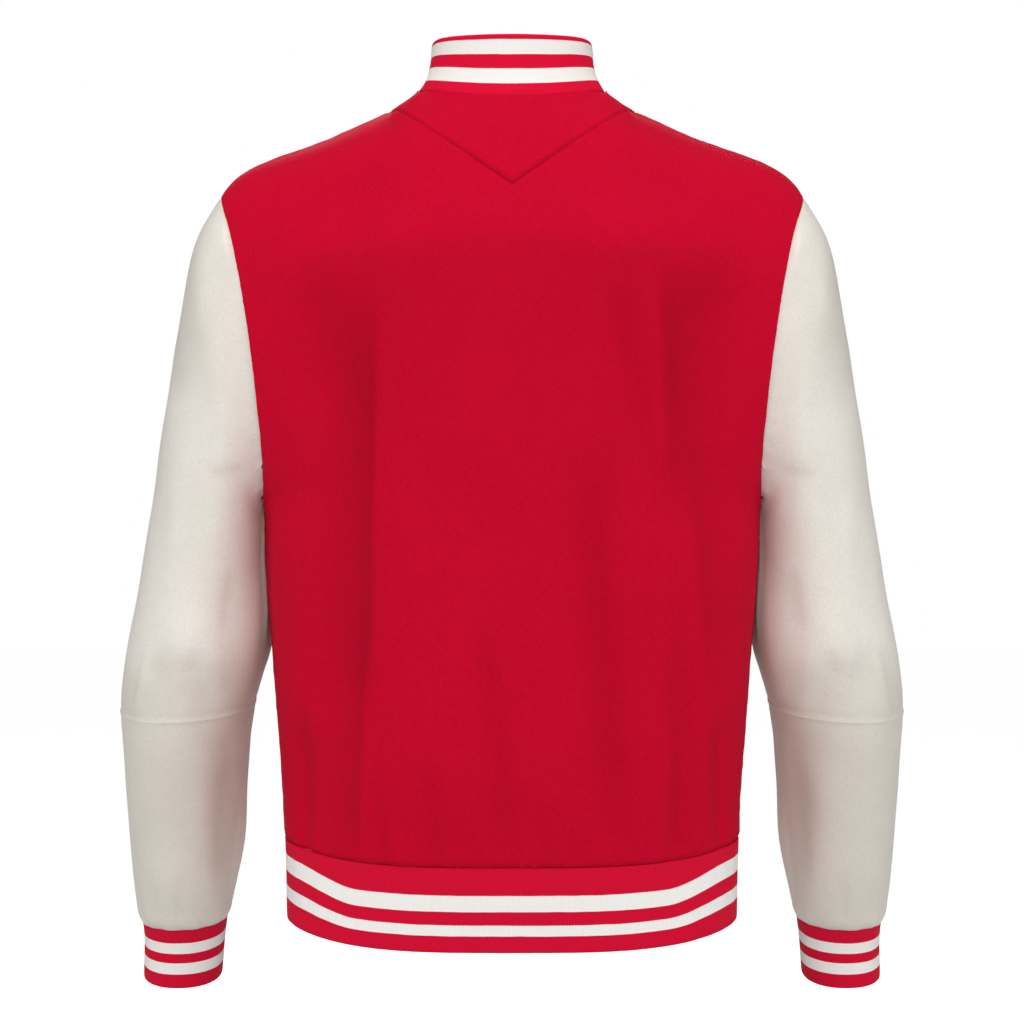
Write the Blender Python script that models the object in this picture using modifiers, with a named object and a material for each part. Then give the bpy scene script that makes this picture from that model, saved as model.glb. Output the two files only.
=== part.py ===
"""A varsity jacket, filled out as if worn: knit rib collar, hem and cuffs, cloth body, leather sleeves.

The front faces -Y and the wearer's left is +X. The origin is the middle of the neck opening, level with
the two neck points of the shoulder seams, where the wearer's shoulders carry the jacket.
Tables and sizes are in millimetres. A mesh is made in metres.
"""

import math
from collections import namedtuple

import bmesh
import bpy
import numpy as np
from mathutils import Vector

MM = 0.001
MIRROR = np.array([-1.0, 1.0, 1.0])

# Cloth
BODY_WALL = 2.0
SLEEVE_WALL = 1.6
RIB_WALL = 3.0
COLLAR_WALL = 3.6
SEAM_GAP = 0.34
MITRE_REACH = 1.2  # a mitred edge is at most this many walls deep
CURVED_SEAM_GAP = 0.85  # round the armholes and the neck
RIB_STEP = 1.1  # the rib lies this much inside the cloth that it gathers

# Shoulders, armholes and neck
SHOULDER_TIP_X = 229.0
SHOULDER_TIP_Z = -83.0
UNDERARM_Z = -328.0
ARMHOLE_HALF_DEPTH = 72.0
NECK_HALF_WIDTH = 74.0
BACK_NECK_Y = 60.0
BACK_NECK_Z = -13.5
FRONT_NECK_Y = -78.0
FRONT_NECK_Z = -85.0

# Closure
OVERLAP = 15.0  # each front runs this far past the middle
RAMP_START = 27.0  # the upper front settles back onto the body between these two
RAMP_END = 62.0
LAP_CLEARANCE = 0.6
LAP_TOP_DROP = 4.0
COLLAR_OPENING = 4.0
SNAP_HEIGHTS = (-112.0, -202.0, -292.0, -382.0, -472.0, -558.0, -621.0)
SNAP_CLEARANCE = 0.4
SnapPoint = namedtuple("SnapPoint", "radius height")
SNAP_OUTLINE = (
    SnapPoint(0.0, 3.3),
    SnapPoint(3.0, 3.15),
    SnapPoint(5.3, 2.6),
    SnapPoint(6.4, 2.0),
    SnapPoint(7.1, 1.9),
    SnapPoint(7.5, 1.2),
    SnapPoint(7.1, 0.0),
    SnapPoint(0.0, 0.0),
)

# Grids
NECK_SHARE = 0.34  # the share of a torso row that ends at the neckline
NECK_COLUMNS = 6
ARMHOLE_STEPS = 13
LOWER_ROWS = 10
RIB_ROWS = 3
YOKE_ROWS = 4
YOKE_TIP_Z = -86.0  # the point of the V on the middle of the back
YOKE_TIP_CUT = 0.6  # its two upper points stop this short of the shoulder seams
UPPER_SLEEVE_RINGS = 15
LOWER_SLEEVE_RINGS = 7
CUFF_RINGS = 3

# One row for each level of the torso below the armholes. The side is at x, the middle of the back and of
# the front at their own y and z. Squareness is the power of the rounded section.
Lower = namedtuple("Lower", "name side_x side_z back_y back_z front_y front_z squareness")
LOWER_SECTIONS = (
    Lower("hem edge", 177.2, -647.0, 104.0, -663.0, -104.0, -656.0, 3.4),
    Lower("hem seam", 178.4, -585.0, 112.0, -598.0, -112.0, -592.0, 3.2),
    Lower("blouse", 180.8, -548.0, 118.0, -556.0, -118.0, -552.0, 3.0),
    Lower("waist", 188.3, -450.0, 121.0, -455.0, -121.0, -452.0, 2.7),
    Lower("chest", 193.8, -385.0, 122.0, -384.0, -123.0, -385.0, 2.5),
    Lower("underarm", 196.0, -328.0, 122.0, -325.0, -124.0, -328.0, 2.4),
)

# One row for each level above, ending on the armhole at an angle that runs from 0 at the underarm to 180
# at the shoulder tip. Fullness rounds the row towards its edge, and follow is how far it has taken up the
# shoulder line's own spacing and slope.
Upper = namedtuple("Upper", "angle side_x back_y back_z front_y front_z fullness follow")
UPPER_SECTIONS = (
    Upper(22.5, 194.2, 122.0, -290.0, -124.0, -300.0, 0.50, 0.30),
    Upper(45.0, 193.0, 121.0, -251.0, -123.0, -271.0, 0.61, 0.55),
    Upper(67.5, 194.6, 119.0, -210.0, -120.0, -241.0, 0.74, 0.75),
    Upper(90.0, 200.0, 115.0, -167.0, -116.0, -210.0, 0.87, 0.90),
    Upper(112.5, 207.6, 107.0, -125.0, -110.5, -179.0, 0.96, 1.0),
    Upper(135.0, 217.5, 95.0, -84.0, -102.0, -148.0, 1.0, 1.0),
    Upper(157.5, 227.5, 79.0, -45.0, -91.5, -117.0, 1.0, 1.0),
)
UPPER_SQUARENESS = 2.3
EASE_AT_TOP = 0.12  # the share of a row over which the corner at the neck point is eased
EASE_AT_CHEST = 0.34
ANGLE_RISE = 40.0 / 22.5  # row spacing up the armhole, in mm for each degree

# The shoulder line from the neck point to the tip.
Ridge = namedtuple("Ridge", "share x z")
SHOULDER_LINE = (
    Ridge(0.00, 74.0, 0.0),
    Ridge(0.05, 81.5, -6.0),
    Ridge(0.10, 89.5, -11.4),
    Ridge(0.15, 97.5, -16.0),
    Ridge(0.28, 120.0, -27.0),
    Ridge(0.41, 143.0, -37.5),
    Ridge(0.54, 166.0, -45.6),
    Ridge(0.67, 188.0, -52.4),
    Ridge(0.79, 207.0, -61.0),
    Ridge(0.90, 221.0, -71.0),
    Ridge(1.00, SHOULDER_TIP_X, SHOULDER_TIP_Z),
)
YOKE_COLUMNS = NECK_COLUMNS + 3  # the V meets the shoulder line three columns out from the neck point

# The left sleeve's rings below the armhole: outer and inner edge, the middle's y, half its depth, and how
# far the ring tips down at the back as the forearm comes forward.
Ring = namedtuple("Ring", "name outer_x outer_z inner_x inner_z middle_y half_depth tip_deg")
SLEEVE_SECTIONS = (
    Ring("cap 1", 238.3, -97.0, 198.6, -331.5, -1.0, 75.0, 0.0),
    Ring("cap 2", 247.0, -111.5, 199.0, -335.0, -3.0, 78.5, 0.0),
    Ring("cap 3", 254.2, -135.0, 199.2, -339.0, -6.0, 80.0, 0.0),
    Ring("cap 4", 259.8, -165.0, 199.0, -344.0, -9.0, 79.5, 0.0),
    Ring("upper arm 1", 265.8, -198.0, 198.6, -351.0, -12.0, 78.0, 0.0),
    Ring("upper arm 2", 272.8, -240.0, 198.0, -361.0, -15.5, 76.0, 0.0),
    Ring("upper arm 3", 280.1, -285.0, 197.2, -375.0, -18.5, 73.5, 0.0),
    Ring("upper arm 4", 287.6, -332.0, 196.2, -393.0, -21.0, 71.0, 0.0),
    Ring("upper arm 5", 294.5, -375.0, 195.0, -414.0, -22.5, 69.0, 0.0),
    Ring("above elbow", 302.0, -410.0, 194.2, -434.0, -23.5, 67.5, 2.0),
    Ring("elbow", 308.8, -444.0, 195.8, -452.0, -25.0, 66.0, 5.0),
    Ring("below elbow", 312.2, -472.0, 201.3, -470.0, -28.0, 64.0, 8.0),
    Ring("elbow seam", 313.1, -490.0, 205.6, -484.0, -31.0, 62.5, 9.5),
    Ring("forearm 1", 313.0, -508.0, 209.4, -500.0, -34.8, 61.0, 10.5),
    Ring("forearm 2", 312.0, -542.0, 211.8, -532.0, -42.0, 57.5, 12.0),
    Ring("forearm 3", 309.8, -591.0, 215.4, -580.0, -52.0, 52.5, 12.0),
    Ring("wrist 1", 309.0, -633.0, 221.6, -625.0, -59.5, 48.0, 12.0),
    Ring("wrist 2", 306.0, -652.0, 228.4, -646.0, -63.0, 42.5, 12.0),
    Ring("cuff seam", 303.2, -662.0, 231.2, -660.5, -65.0, 37.5, 12.0),
    Ring("cuff end", 303.6, -712.0, 236.8, -712.0, -75.0, 34.0, 12.0),
)
ELBOW_SEAM = [s.name for s in SLEEVE_SECTIONS].index("elbow seam") + 1
SLEEVE_ROUNDING = 0.93

# The collar's rise from the neckline: in towards the neck, and up.
Rise = namedtuple("Rise", "inward up")
COLLAR_BACK = Rise(9.0, 46.5)
COLLAR_SIDE = Rise(10.0, 33.5)
COLLAR_FRONT = Rise(-2.0, 46.0)
COLLAR_LEVELS = (0.0, 0.14, 0.32, 0.6, 0.86, 1.0)
COLLAR_CORNER = 20.0  # the top corners round off over this length at the opening

# The largest folds of the body, as soft troughs along a line from one point to another on the face that
# they lie on. Depth is below the surface, and a negative depth is a ridge.
Fold = namedtuple("Fold", "face x1 z1 x2 z2 width depth")
BACK, FRONT = 1, -1
BODY_FOLDS = (
    Fold(BACK, 52.0, -152.0, 158.0, -136.0, 34.0, -4.5),
    Fold(BACK, -50.0, -150.0, -160.0, -138.0, 34.0, -4.5),
    Fold(BACK, 112.0, -185.0, 120.0, -560.0, 21.0, 6.5),
    Fold(BACK, 80.0, -260.0, 90.0, -575.0, 17.0, -3.5),
    Fold(BACK, 160.0, -150.0, 140.0, -250.0, 20.0, 3.0),
    Fold(BACK, -129.0, -165.0, -134.0, -440.0, 22.0, 5.5),
    Fold(BACK, -132.0, -430.0, -120.0, -585.0, 19.0, 5.0),
    Fold(BACK, -84.0, -165.0, -106.0, -350.0, 15.0, 3.5),
    Fold(BACK, -108.0, -170.0, -116.0, -300.0, 12.0, -3.0),
    Fold(BACK, -41.0, -262.0, -66.0, -575.0, 16.0, 4.0),
    Fold(BACK, 24.0, -430.0, 3.0, -600.0, 13.0, 3.5),
    Fold(BACK, 165.0, -480.0, 156.0, -600.0, 10.0, 4.5),
    Fold(BACK, -165.0, -480.0, -158.0, -600.0, 10.0, 4.5),
    Fold(FRONT, 98.0, -190.0, 112.0, -560.0, 24.0, 4.5),
    Fold(FRONT, -104.0, -180.0, -118.0, -570.0, 24.0, 4.5),
    Fold(FRONT, 58.0, -400.0, 66.0, -590.0, 17.0, 3.0),
    Fold(FRONT, -60.0, -330.0, -72.0, -590.0, 17.0, 3.0),
    Fold(FRONT, 158.0, -470.0, 150.0, -590.0, 12.0, 3.5),
    Fold(FRONT, -158.0, -450.0, -152.0, -590.0, 12.0, 3.5),
)

# Folds of the left sleeve, along a line from one height and angle round the arm to another. The angle is
# 0 on the inner side, 90 at the back, 180 on the outer side and 270 at the front. Depth is as for the body.
Crease = namedtuple("Crease", "z1 angle1 z2 angle2 width depth")
SLEEVE_FOLDS = (
    Crease(-465.0, 35.0, -492.0, 150.0, 15.0, 3.0),
    Crease(-440.0, 330.0, -452.0, 250.0, 15.0, 6.0),
    Crease(-490.0, 345.0, -470.0, 265.0, 13.0, 4.0),
    Crease(-400.0, 340.0, -425.0, 285.0, 13.0, 3.5),
    Crease(-540.0, 52.0, -650.0, 30.0, 13.0, 5.0),
    Crease(-430.0, 60.0, -455.0, 120.0, 26.0, -4.0),
    Crease(-560.0, 250.0, -640.0, 262.0, 13.0, 3.5),
    Crease(-250.0, 62.0, -350.0, 50.0, 15.0, 2.5),
)

RED_WOOL = ("red_wool", (0.62, 0.008, 0.035), 0.85)
CREAM_LEATHER = ("cream_leather", (0.72, 0.68, 0.60), 0.45)
STRIPED_RIB = ("striped_rib", (0.66, 0.02, 0.05), 0.9)
CREAM_ENAMEL = ("cream_enamel", (0.78, 0.75, 0.68), 0.25)


def through(knots, values, at, each=False):
    """The smooth curve through the values at the knots, read at each place in at.

    With each, values holds a curve of its own for every place.
    """
    knots, values, at = (np.asarray(x, float) for x in (knots, values, at))
    slopes = np.gradient(values, knots, axis=0)
    first = np.clip(np.searchsorted(knots, at, side="right") - 1, 0, len(knots) - 2)
    step = knots[first + 1] - knots[first]
    t = (at - knots[first]) / step
    lift = (Ellipsis,) + (None,) * (1 if each else values.ndim - 1)
    t, step = t[lift], step[lift]

    def at_knot(table, index):
        if not each:
            return table[index]
        return np.take_along_axis(table, index[None, ..., None], axis=0)[0]

    start, end = at_knot(values, first), at_knot(values, first + 1)
    leave, arrive = at_knot(slopes, first) * step, at_knot(slopes, first + 1) * step
    return (
        start * (2 * t**3 - 3 * t**2 + 1)
        + leave * (t**3 - 2 * t**2 + t)
        + end * (3 * t**2 - 2 * t**3)
        + arrive * (t**3 - t**2)
    )


def unit(vectors):
    length = np.linalg.norm(vectors, axis=-1, keepdims=True)
    return vectors / np.maximum(length, 1e-9)


def smooth_step(t):
    t = np.clip(t, 0.0, 1.0)
    return t * t * (3 - 2 * t)


# ---- the torso as one surface that every body panel is cut from ----


def armhole_edge(angle):
    """y and z of the armhole at an angle, 0 at the underarm and 180 at the shoulder tip."""
    turn = math.radians(angle)
    middle = (SHOULDER_TIP_Z + UNDERARM_Z) / 2
    half_height = (SHOULDER_TIP_Z - UNDERARM_Z) / 2
    return ARMHOLE_HALF_DEPTH * math.sin(turn), middle - half_height * math.cos(turn)


def top_line(face, u):
    """The neckline, then the shoulder line: the torso's upper edge at each share u of a row."""
    u = np.abs(u)
    turn = np.clip(u / NECK_SHARE, 0, 1) * math.pi / 2
    neck_y, neck_z, dip = (
        (BACK_NECK_Y, BACK_NECK_Z, 1.6) if face == BACK else (FRONT_NECK_Y, FRONT_NECK_Z, 1.25)
    )
    across, along = np.sin(turn), np.clip(np.cos(turn), 0, 1)
    neckline = np.stack(
        [NECK_HALF_WIDTH * across**0.95, neck_y * along**0.95, neck_z * along**dip], axis=-1
    )
    share = np.clip((u - NECK_SHARE) / (1 - NECK_SHARE), 0, 1)
    knots = [r.share for r in SHOULDER_LINE]
    shoulder = through(knots, [(r.x, 0.0, r.z) for r in SHOULDER_LINE], share)
    return np.where((u < NECK_SHARE)[..., None], neckline, shoulder)


def eased_top_line(face, u, ease):
    """The top line with its corner at the neck point eased, for the levels below it."""
    reach = ease * np.clip((1 - np.abs(u)) / 0.35, 0, 1)
    total = np.zeros(u.shape + (3,))
    for step, weight in ((-1, 1), (-0.5, 2), (0, 3), (0.5, 2), (1, 1)):
        at = np.abs(u) + step * reach
        total += weight / 9 * top_line(face, at) * np.stack([np.sign(at), at**0, at**0], axis=-1)
    return total


def row_points(face, u, side, middle, power, fullness, follow=0.0, ease=EASE_AT_CHEST):
    """One level of the torso: from its middle (y, z) to its side edge (x, y, z), at the shares u."""
    top = eased_top_line(face, u, ease)
    middle_top = eased_top_line(face, np.zeros(1), ease)[0, 2]
    round_share = np.sin(np.abs(u) * math.pi / 2) ** (2 / power)
    share = (1 - follow) * round_share + follow * np.maximum(top[..., 0], 0) / SHOULDER_TIP_X
    y = side[1] + (middle[0] - side[1]) * np.clip(1 - share**power, 0, 1) ** fullness
    inward = 1 - share**power
    flat = side[2] + (middle[1] - side[2]) * inward
    side_drop, middle_drop = SHOULDER_TIP_Z - side[2], middle_top - middle[1]
    sloped = top[..., 2] - (side_drop + (middle_drop - side_drop) * inward)
    slope = follow**2
    return np.stack([side[0] * share, y, flat * (1 - slope) + sloped * slope], axis=-1)


def section_rows(face, u):
    """Every level of one face of the torso, from the hem to the top, and the rise of each."""
    rows, rises = [], []
    for s in LOWER_SECTIONS:
        middle = (s.back_y, s.back_z) if face == BACK else (s.front_y, s.front_z)
        side = (s.side_x, 0.0, s.side_z)
        rows.append(row_points(face, u, side, middle, s.squareness, 1 / s.squareness))
        rises.append(s.side_z - LOWER_SECTIONS[0].side_z)
    underarm_rise = rises[-1]
    for s in UPPER_SECTIONS:
        edge_y, edge_z = armhole_edge(s.angle)
        middle = (s.back_y, s.back_z) if face == BACK else (s.front_y, s.front_z)
        side = (s.side_x, face * edge_y, edge_z)
        climb = min(1, max(0, s.angle / 90 - 1))
        ease = EASE_AT_CHEST + climb * (EASE_AT_TOP - EASE_AT_CHEST)
        rows.append(row_points(face, u, side, middle, UPPER_SQUARENESS, s.fullness, s.follow, ease))
        rises.append(underarm_rise + s.angle * ANGLE_RISE)
    rows.append(top_line(face, u))
    rises.append(underarm_rise + 180 * ANGLE_RISE)
    return rows, rises


HEM_SEAM_RISE = LOWER_SECTIONS[1].side_z - LOWER_SECTIONS[0].side_z
UNDERARM_RISE = UNDERARM_Z - LOWER_SECTIONS[0].side_z
TOP_RISE = UNDERARM_RISE + 180 * ANGLE_RISE


def bare_torso(face, u, rise):
    """Points of the torso without folds, at matching arrays of shares u and rises."""
    u, rise = np.broadcast_arrays(np.asarray(u, float), np.asarray(rise, float))
    rows, rises = section_rows(face, u)
    # The other face's last level carries the curve on over the shoulder. At the neckline it goes straight.
    over = section_rows(-face, u)[0][-2]
    straight = 2 * rows[-1] - rows[-2]
    past_neck = smooth_step((np.abs(u) - NECK_SHARE) / 0.10 + 1)[..., None]
    rows.append(over * past_neck + straight * (1 - past_neck))
    rises.append(2 * rises[-1] - rises[-2])
    points = through(rises, np.array(rows), rise, each=True)
    # Below the armhole the two faces meet on one line, and the curve doesn't swing past it.
    side_y = [0.0] * len(LOWER_SECTIONS) + [face * armhole_edge(s.angle)[0] for s in UPPER_SECTIONS]
    swing = through(rises, side_y + [0.0, -side_y[-1]], rise)
    points[..., 1] -= np.where(rise < UNDERARM_RISE, swing * np.abs(u) ** 3, 0)
    points[..., 0] *= np.where(u < 0, -1.0, 1.0)
    return points


def torso_normals(face, u, rise):
    """Outward directions of the torso, the same for every panel that shares an edge."""
    u, rise = np.asarray(u, float), np.asarray(rise, float)
    du, dr = 0.004, 1.0
    low_u, high_u = np.maximum(u - du, -1), np.minimum(u + du, 1)
    low_r, high_r = np.maximum(rise - dr, 0), np.minimum(rise + dr, TOP_RISE)
    # Near the side, where the row turns away from the eye, the step across is taken on both faces.
    across = bare_torso(face, high_u, rise) - bare_torso(face, low_u, rise)
    at_side = (np.abs(u) > 1 - 1e-6) & (rise <= UNDERARM_RISE + 1e-6)
    other = bare_torso(-face, np.where(u > 0, high_u - du, low_u + du), rise)
    this = bare_torso(face, np.where(u > 0, low_u, high_u), rise)
    turned = (other - this) * np.where(u > 0, 1.0, -1.0)[..., None]
    across = np.where(at_side[..., None], turned, across)
    up = bare_torso(face, u, high_r) - bare_torso(face, u, low_r)
    return unit(np.cross(across, up)) * (-1.0 if face == BACK else 1.0)


def fold_depth(points, face, u, rise):
    """How far the folds push each point in, fading out towards the seams."""
    depth = np.zeros(points.shape[:-1])
    for fold in BODY_FOLDS:
        if fold.face != face:
            continue
        line = np.array([fold.x2 - fold.x1, fold.z2 - fold.z1])
        length = np.linalg.norm(line)
        away = points[..., (0, 2)] - (fold.x1, fold.z1)
        along = away @ line / length
        across = np.abs(away @ np.array([-line[1], line[0]]) / length)
        ends = smooth_step(along / (0.3 * length)) * smooth_step((length * 1.1 - along) / (0.25 * length))
        depth += fold.depth * np.exp(-((across / fold.width) ** 2)) * ends
    at_side = smooth_step((1 - np.abs(u)) / 0.10)
    at_top = smooth_step((TOP_RISE - rise) / 90.0)
    at_hem = 0.25 + 0.75 * smooth_step((rise - HEM_SEAM_RISE) / 45.0)
    in_rib = smooth_step((rise - HEM_SEAM_RISE + 30.0) / 30.0)
    return depth * at_side * at_top * at_hem * in_rib


class Panel:
    """A grid of outer points, and at each the vector that leads through the wall to the inner face."""

    def __init__(self, outer, normals, wall):
        self.outer = np.array(outer, float)
        self.through = -wall * np.array(normals, float)
        self.wall = wall
        self.pulls = {}

    def pull(self, place, direction, gap=SEAM_GAP):
        """Notes a seam that this point has to draw back from, towards direction."""
        self.pulls.setdefault(place, []).append(direction * gap / 2)

    def faces_of_wall(self):
        """Outer and inner points, drawn back from the seams by half the gap."""
        outer, inner = self.outer.copy(), self.outer + self.through
        for place, shifts in self.pulls.items():
            shift = shifts[0]
            if len(shifts) > 1:
                meet = float(unit(shifts[0]) @ unit(shifts[1]))
                shift = (shifts[0] + shifts[1]) / max(0.12, 1 + meet)
            outer[place] += shift
            inner[place] += shift
        return outer, inner


def torso_panel(face, u, rise, wall, lift=None, step_in=0.0):
    """A panel cut from the torso. Lift raises it off the surface, point by point."""
    points, normals = bare_torso(face, u, rise), torso_normals(face, u, rise)
    push = fold_depth(points, face, u, rise) + step_in
    if lift is not None:
        push = push - lift
    return Panel(points - normals * push[..., None], normals, wall)


def side_of(panel, row=None, column=None, start=0, stop=None):
    """The places along one edge of a panel, each with its neighbour one step inside."""
    rows, columns = panel.outer.shape[:2]
    if row is not None:
        inside = row + 1 if row == 0 else row - 1
        span = range(start, columns if stop is None else stop)
        return [((row % rows, c), (inside % rows, c)) for c in span]
    inside = column + 1 if column == 0 else column - 1
    span = range(start, rows if stop is None else stop)
    return [((r, column % columns), (r, inside % columns)) for r in span]


def join(a, edge_a, b, edge_b, gap=SEAM_GAP):
    """Mitres two walls where their edges meet, and parts them by the seam gap."""
    for (at_a, in_a), (at_b, in_b) in zip(edge_a, edge_b, strict=True):
        out_a, out_b = unit(-a.through[at_a]), unit(-b.through[at_b])
        into_a = unit(a.outer[in_a] - a.outer[at_a])
        into_b = unit(b.outer[in_b] - b.outer[at_b])
        mean = out_a + out_b - 0.15 * (into_a + into_b)
        way = unit(mean)
        reach = min(MITRE_REACH, 1 / max(0.2, float(way @ out_a)))
        a.through[at_a] = -way * a.wall * reach
        b.through[at_b] = -way * b.wall * reach
        parting = into_a - into_b
        parting = unit(parting - way * float(parting @ way))
        a.pull(at_a, parting, gap)
        b.pull(at_b, -parting, gap)


# ---- meshes and objects ----


def material(finish):
    name, colour, roughness = finish
    made = bpy.data.materials.get(name)
    if made is None:
        made = bpy.data.materials.new(name)
        made.use_nodes = True
        surface = made.node_tree.nodes["Principled BSDF"]
        surface.inputs["Base Color"].default_value = (*colour, 1.0)
        surface.inputs["Roughness"].default_value = roughness
    return made


def add_object(name, mesh, finish, collection):
    mesh.materials.append(material(finish))
    made = bpy.data.objects.new(name, mesh)
    collection.objects.link(made)
    return made


def wall_object(name, panel, finish, collection, wraps=False, mirrored=False, spans=False):
    """One closed wall of cloth from a panel: outer face, inner face and the edges between them.

    A panel that spans the middle splits its faces the mirrored way on the wearer's right.
    """
    outer, inner = panel.faces_of_wall()
    if mirrored:
        outer, inner = outer * MIRROR, inner * MIRROR
    rows, columns = outer.shape[:2]
    work = bmesh.new()
    skin = [[work.verts.new(Vector(p) * MM) for p in row] for row in outer]
    back = [[work.verts.new(Vector(p) * MM) for p in row] for row in inner]
    last = columns if wraps else columns - 1
    rim = []
    for c in range(last):
        d = (c + 1) % columns
        for r in range(rows - 1):
            turn = 1 if spans and outer[r, c, 0] + outer[r, d, 0] < 0 else 0
            for side in (skin, back):
                corners = [side[r][c], side[r][d], side[r + 1][d], side[r + 1][c]]
                work.faces.new(corners[turn:] + corners[:turn])
        rim.append(work.faces.new((skin[0][c], back[0][c], back[0][d], skin[0][d])))
        rim.append(work.faces.new((skin[-1][c], skin[-1][d], back[-1][d], back[-1][c])))
    for r in range(0 if wraps else rows - 1):
        rim.append(work.faces.new((skin[r][0], skin[r + 1][0], back[r + 1][0], back[r][0])))
        rim.append(work.faces.new((skin[r][-1], back[r][-1], back[r + 1][-1], skin[r + 1][-1])))
    # Walls that face each other across a seam are split the same way, so neither bulges into the other.
    bmesh.ops.triangulate(work, faces=rim, quad_method="SHORT_EDGE")
    bmesh.ops.remove_doubles(work, verts=work.verts, dist=0.00002)
    bmesh.ops.recalc_face_normals(work, faces=work.faces)
    mesh = bpy.data.meshes.new(name)
    work.to_mesh(mesh)
    work.free()
    mesh.shade_smooth()
    mesh.set_sharp_from_angle(angle=math.radians(50))
    return add_object(name, mesh, finish, collection)


# ---- the body ----


def row_shares():
    """Shares u of the columns from the middle to the side: neckline first, then the shoulder line."""
    neck = np.linspace(0, NECK_SHARE, NECK_COLUMNS + 1)
    shoulder = [NECK_SHARE + r.share * (1 - NECK_SHARE) for r in SHOULDER_LINE[1:]]
    return np.concatenate([neck, shoulder])


def row_rises():
    lower = np.linspace(HEM_SEAM_RISE, UNDERARM_RISE, LOWER_ROWS + 1)
    upper = np.linspace(UNDERARM_RISE, TOP_RISE, ARMHOLE_STEPS + 1)
    return np.concatenate([lower, upper[1:]])


def both_sides(shares):
    return np.concatenate([-shares[:0:-1], shares])


def yoke_line_rises(u):
    """The rise at which each column of the back meets the straight V of the yoke."""
    end_x, _, end_z = top_line(BACK, row_shares()[YOKE_COLUMNS])
    low, high = np.full(len(u), UNDERARM_RISE), np.full(len(u), TOP_RISE)
    for _ in range(30):
        rise = (low + high) / 2
        points = bare_torso(BACK, np.abs(u), rise)
        wanted = YOKE_TIP_Z + (end_z - YOKE_TIP_Z) * points[:, 0] / end_x
        under = points[:, 2] < wanted
        low, high = np.where(under, rise, low), np.where(under, high, rise)
    outside = np.abs(u) >= row_shares()[YOKE_COLUMNS] - 1e-6
    return np.where(outside, TOP_RISE, rise)


def back_panels():
    """The back below the V, and the yoke above it."""
    shares, rises = row_shares(), row_rises()
    u = both_sides(shares)
    line = yoke_line_rises(u)
    settled = LOWER_ROWS + 6  # rows from here up close in on the V
    share_up = np.clip((rises - rises[settled]) / (TOP_RISE - rises[settled]), 0, 1)[:, None]
    below = np.minimum(rises, rises[settled])[:, None]
    rise = below + share_up * (line[None, :] - rises[settled])
    back = torso_panel(BACK, np.broadcast_to(u, rise.shape), rise, BODY_WALL)

    middle = len(shares) - 1
    span = slice(middle - YOKE_COLUMNS, middle + YOKE_COLUMNS + 1)
    climb = np.linspace(0, 1, YOKE_ROWS + 1)[:, None]
    yoke_rise = line[None, span] + climb * (TOP_RISE - line[None, span])
    yoke = torso_panel(BACK, np.broadcast_to(u[span], yoke_rise.shape), yoke_rise, BODY_WALL)
    return back, yoke


def shares_at_x(face, x, rises):
    """The share u at which each row of the torso is x from the middle."""
    low, high = np.zeros(len(rises)), np.full(len(rises), 0.5)
    for _ in range(24):
        u = (low + high) / 2
        short = bare_torso(face, u, rises)[:, 0] < x
        low, high = np.where(short, u, low), np.where(short, high, u)
    return u


def lap_lift(points, wall):
    """How far the upper front stands off the body: clear of the lower front, then settling back."""
    reach = (RAMP_END - points[..., 0]) / (RAMP_END - RAMP_START)
    return (wall + LAP_CLEARANCE) * smooth_step(reach)


def front_shares(rises):
    """Shares u of a front's columns: past the middle, just short of it, and on to the side."""
    shares = row_shares()
    past = -shares_at_x(FRONT, OVERLAP, rises)
    short = shares_at_x(FRONT, COLLAR_OPENING / 2, rises)
    rest = np.broadcast_to(shares[1:], (len(rises), len(shares) - 1))
    return np.column_stack([past, short, rest])


def front_panel(is_left):
    """A front from past the middle to the side seam. The left one laps over the right."""
    rises = row_rises()
    u = front_shares(rises)
    rise = np.repeat(rises[:, None], u.shape[1], axis=1)
    # What runs past the middle stays a little below the collar.
    up_last_row = (rises - rises[-2]) / (TOP_RISE - rises[-2])
    rise[:, 0] = np.minimum(rise[:, 0], TOP_RISE - LAP_TOP_DROP * up_last_row)
    lift = lap_lift(bare_torso(FRONT, u, rise), BODY_WALL) if is_left else None
    return torso_panel(FRONT, u if is_left else -u, rise, BODY_WALL, lift)


def hem_panel():
    """The rib hem, from its end on the left front, round the back, to its end on the right front."""
    shares = row_shares()
    rises = np.linspace(0, HEM_SEAM_RISE, RIB_ROWS + 1)
    front_u = front_shares(rises)
    front_rise = np.broadcast_to(rises[:, None], front_u.shape)
    lift = lap_lift(bare_torso(FRONT, front_u, front_rise), RIB_WALL)
    left = torso_panel(FRONT, front_u, front_rise, RIB_WALL, lift, RIB_STEP)
    back_u = np.broadcast_to(both_sides(shares)[::-1], (len(rises), 2 * len(shares) - 1))
    back_rise = np.broadcast_to(rises[:, None], back_u.shape)
    back = torso_panel(BACK, back_u, back_rise, RIB_WALL, None, RIB_STEP)
    right = torso_panel(FRONT, -front_u, front_rise, RIB_WALL, None, RIB_STEP)
    outer = np.concatenate([left.outer[:, :-1], back.outer, right.outer[:, -2::-1]], axis=1)
    ways = np.concatenate([left.through[:, :-1], back.through, right.through[:, -2::-1]], axis=1)
    return Panel(outer, -ways / RIB_WALL, RIB_WALL)


# ---- sleeves and cuffs ----


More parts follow.
